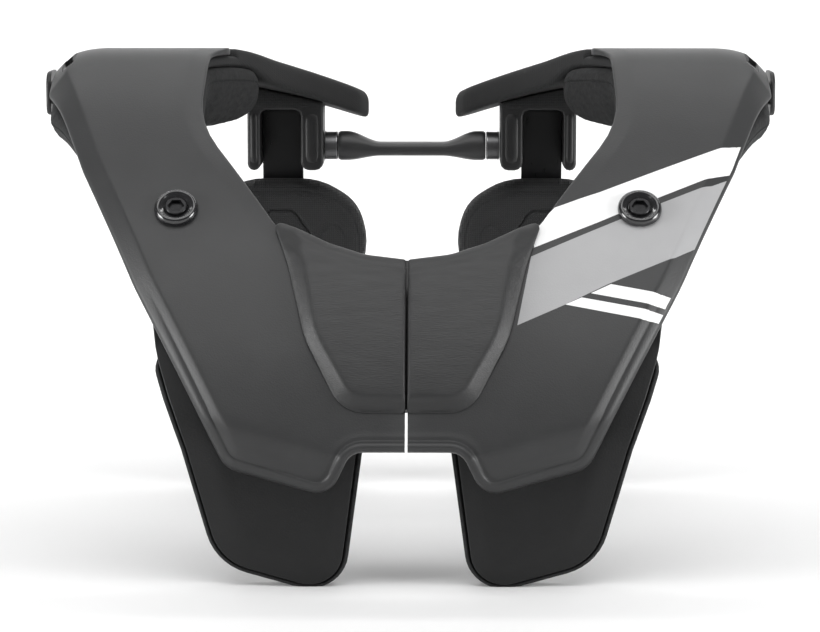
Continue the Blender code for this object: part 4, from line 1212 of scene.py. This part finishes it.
def makeLink():
    half = linkInner - rear["spacer"][1] - 2 * brace["gap"]
    end, (tall, deep) = rear["linkEnd"], rear["linkMiddle"]
    (start, reach), (edge, size) = rear["linkTaper"], rear["linkChamfer"]
    loops = []
    for k in range(rear["linkRings"] + 1):
        share = -1 + 2 * k / rear["linkRings"]
        f = min(max((abs(share) - start) / reach, 0), 1)
        way = f * f * (3 - 2 * f)
        chamfer = size * max(0.0, (abs(share) - edge) / (1 - edge))
        height = tall + (end - tall) * way - chamfer
        depth = deep + (end - deep) * way - chamfer
        sag = (end - tall) * (1 - way) * rear["linkSag"]
        power = rear["linkSquare"] + (1 - rear["linkSquare"]) * way
        loop = []
        for j in range(rear["linkSides"]):
            a = 2 * math.pi * j / rear["linkSides"]
            c, s = math.cos(a), math.sin(a)
            loop.append((share * half, rearMiddle.y + math.copysign(abs(c) ** power, c) * depth,
                         linkHeight + math.copysign(abs(s) ** power, s) * height - sag))
        loops.append(loop)
    addPiece("linkBar", skinLoops(loops), ["link_bar"], [linkRubber])
    radius, length = rear["spacer"]
    profile = [(radius - 0.0004, 0.0), (radius, 0.0003), (radius, 0.0005),
               (radius - 0.0002, 0.0006), (radius - 0.0002, length - 0.0006),
               (radius, length - 0.0005), (radius, length - 0.0003), (radius - 0.0004, length)]
    for side, word in ((-1, "Left"), (1, "Right")):
        bm = skinLoops(turnedLoops(profile, 48))
        for f in bm.faces:
            z = f.calc_center_median().z
            f.material_index = int(0.0002 < z < 0.00055)
        inside = linkInner - length - brace["gap"]
        bm.transform(Matrix.Translation((side * inside, rearMiddle.y, linkHeight))
                     @ Matrix.Rotation(side * math.pi / 2, 4, "Y"))
        addPiece("barSpacer" + word, bm, ["bar_spacer_" + word.lower()],
                 [spacerAnodised, ringBright])


makeBrackets()
makeLink()

backPad = {
    "grid": 0.0009,
    "swell": 0.0016,
    "rim": (0.0034, 0.0007, 0.0006),   # in from the edge, half width and depth of the groove
    "seam": (0.0005, 0.0006),   # half width and depth
    "panels": [
        # towards the middle as a share of half the width, along as a share of the length
        [(-0.126, 0.088), (0.126, 0.088), (0.185, 0.104), (0.225, 0.125), (0.334, 0.165),
         (0.300, 0.240), (0.000, 0.300), (-0.300, 0.240), (-0.334, 0.165), (-0.225, 0.125),
         (-0.185, 0.104)],
        [(0.447, 0.180), (0.545, 0.146), (0.605, 0.137), (0.685, 0.143), (0.745, 0.170),
         (0.755, 0.206), (0.712, 0.268), (0.520, 0.283), (0.397, 0.231)],
    ],
    "outline": [
        # across as a share of half the width, along as a share of the length, corner
        (0.45, 0.000, 0.030),
        (0.90, 0.075, 0.020),
        (1.03, 0.190, 0.030),
        (0.50, 1.000, 0.015),
    ],
}


def backCurve():
    height = webBottom - brace["gap"] + rear["sunk"]
    share = 0.0
    for (s0, a0), (s1, a1) in zip(rear["leans"], rear["leans"][1:]):
        share += (s1 - s0) * math.cos(math.radians((a0 + a1) / 2))
    length = height / share
    angles = [(s * length, 180.0 - lean) for s, lean in rear["leans"]]
    return makeCurve((rearMiddle.y, webBottom - brace["gap"]), angles, -0.001,
                     length + 0.001), length


def backRows(start, length):
    right = [[rear["arm"] - rear["padHalfWidth"] * x, start + length * t, corner]
             for x, t, corner in backPad["outline"]]
    left = [[2 * rear["arm"] - row[0], *row[1:]] for row in right[::-1]]
    return [[-row[0], *row[1:]] for row in right + left]


def makeBackSupports():
    curve, length = backCurve()
    start = webBottom - finBottom + rear["padBelow"]
    rows = backRows(start, length - start)
    gap = brace["gap"]
    low = -gap - rear["padThickness"]
    bm = ringedBlank(rows, slabRings(low, -gap, 0.004, 0.001), backPad["grid"], backPad["grid"])
    swell(bm, lambda co: co[:, 2] > low * 0.45, backPad["swell"])
    loop = outlineLoop(rows, 0.0)

    def sewn(co):
        # the seams press into the side that rests on the back
        lower = np.clip((low * 0.6 - co[:, 2]) / (low * -0.2), 0, 1)
        spot, wide, deep = backPad["rim"]
        near = nearest(co, loop)
        co[:, 2] += lower * deep * np.exp(-((near - spot) / wide) ** 2)
        wide, deep = backPad["seam"]
        for side in (1, -1):
            for seam in backPad["panels"]:
                line = [(-rear["arm"] + side * u * rear["padHalfWidth"],
                         start + share * (length - start)) for u, share in seam]
                co[:, 2] += lower * deep * np.exp(-(nearest(co, line) / wide) ** 2)
        return co

    layOver(bm, curve, sewn)
    standOnFloor(bm)
    pads = addPair("backPad", bm, "back_pad", [padMesh])
    bm = ringedBlank(insetRows(rows, rear["padRim"]),
                     slabRings(0.0, rear["plateWall"], 0.0004, 0.001), 0.003, 0.006)
    layOver(bm, curve)
    standOnFloor(bm)
    addPair("backPlate", bm, "back_plate", [platePlastic])
    half, low = rear["armWidth"] / 2 + gap, rear["plateWall"] + gap
    top = (low + rear["armWall"]) * math.tan(math.radians(rear["leans"][0][1]))
    end = start + (length - start) * rear["armEnd"]
    turn = half * rear["armEndRound"]
    left, right = -rear["arm"] - half, -rear["arm"] + half
    rows = [[left, top, 0.0], [left, end, turn], [right, end, turn], [right, top, 0.0]]
    bm = ringedBlank(rows, slabRings(low, low + rear["armWall"], 0.0004, 0.0007), 0.003, 0.003)
    layOver(bm, curve)
    addPair("backArm", bm, "back_arm", [armGloss])
    return pads


backPads = makeBackSupports()
print("rear pieces made")

clasp = {
    "halfWidth": 0.0105,
    "thickness": 0.007,
    "corner": 0.002,
    "rounds": (0.0015, 0.0004),   # of the lower edge and the upper
    "span": (0.065, 0.284),   # share along, from and to
}


def makeClasp():
    # hidden behind the front pads, so plain
    low, high = (share * brace["length"] for share in clasp["span"])
    half = clasp["halfWidth"]
    rows = [[x, t, clasp["corner"]] for x, t in ((-half, low), (half, low), (half, high),
                                                 (-half, high))]
    bm = ringedBlank(rows, slabRings(underFrame - clasp["thickness"], underFrame,
                                     *clasp["rounds"]))
    layOver(bm, drape)
    addPiece("frontClasp", bm, ["front_clasp"], [framePlastic])


makeClasp()

studio = {
    "distance": 1.2,          # of the camera from its aim
    "azimuth": 0.65,
    "elevation": 8.0,
    "aim": (0.0, 0.0035, 0.0900),
    "backdropAim": (0.0, 2.3, 0.4),
    "lens": 128.63,
    "sensor": 36.0,
    "shift": 0.0005,
    "world": 0.16,            # strength of the light from all round
    # where each light stands, its size and its power
    "lights": {
        "overhead": ((0.0, -0.55, 1.30), (1.5, 1.0), 12.0),
        "rear": ((0.0, 0.9, 1.1), (1.6, 0.6), 1.0),
        "left": ((-1.15, -0.45, 0.22), (0.5, 0.7), 14.2),
        "right": ((1.15, -0.45, 0.22), (0.5, 0.7), 14.2),
        "backdrop": ((0.0, 0.7, 1.6), (2.6, 0.6), 50.0),
    },
}


def addCamera():
    azimuth, elevation = math.radians(studio["azimuth"]), math.radians(studio["elevation"])
    back = Vector((math.sin(azimuth) * math.cos(elevation),
                   -math.cos(azimuth) * math.cos(elevation), math.sin(elevation)))
    data = bpy.data.cameras.new("camera")
    data.sensor_width = studio["sensor"]
    data.lens = studio["lens"]
    data.shift_x = studio["shift"]
    data.clip_start, data.clip_end = 0.05, 50
    camera = newObject("camera", data)
    camera.location = Vector(studio["aim"]) + back * studio["distance"]
    camera.rotation_euler = (-back).to_track_quat("-Z", "Y").to_euler()
    bpy.context.scene.camera = camera


def addLights():
    for name, (spot, size, power) in studio["lights"].items():
        data = bpy.data.lights.new(name, "AREA")
        data.shape = "RECTANGLE"
        data.size, data.size_y = size
        data.energy = power
        light = newObject(name, data)
        light.location = spot
        target = studio["backdropAim" if name == "backdrop" else "aim"]
        way = Vector(target) - Vector(spot)
        light.rotation_euler = way.to_track_quat("-Z", "Y").to_euler()
    world = bpy.data.worlds.new("studio")
    world.use_nodes = True
    ground = world.node_tree.nodes["Background"]
    ground.inputs["Color"].default_value = (1, 1, 1, 1)
    ground.inputs["Strength"].default_value = studio["world"]
    bpy.context.scene.world = world
    bpy.context.scene.view_settings.view_transform = "Standard"


paper = {
    "front": -3.0,
    "back": 1.5,              # where it starts to turn up
    "turn": 1.0,              # radius
    "turnSteps": 12,
    "height": 4.0,
    "halfWidth": 4.0,
    "finish": {"colour": (0.86, 0.86, 0.86), "roughness": 0.95, "specular": 0.2},
}


def addFloor():
    # pale floor that turns up into the backdrop
    bm = bmesh.new()
    back, turn, steps = paper["back"], paper["turn"], paper["turnSteps"]
    line = [(paper["front"], 0.0), (back, 0.0)]
    line += [(back + turn * math.sin(a), turn - turn * math.cos(a))
             for a in [math.radians(90 * k / steps) for k in range(1, steps + 1)]]
    line.append((back + turn, paper["height"]))
    strips = [[bm.verts.new((x, y, z)) for y, z in line]
              for x in (-paper["halfWidth"], paper["halfWidth"])]
    for i in range(len(line) - 1):
        bm.faces.new((strips[0][i], strips[1][i], strips[1][i + 1], strips[0][i + 1]))
    mesh = newMesh("floor", bm)
    mesh.shade_smooth()
    mesh.materials.append(newFinish("floorPaper", paper["finish"]))
    newObject("floor", mesh)


addFloor()
addLights()
addCamera()
print("studio made")
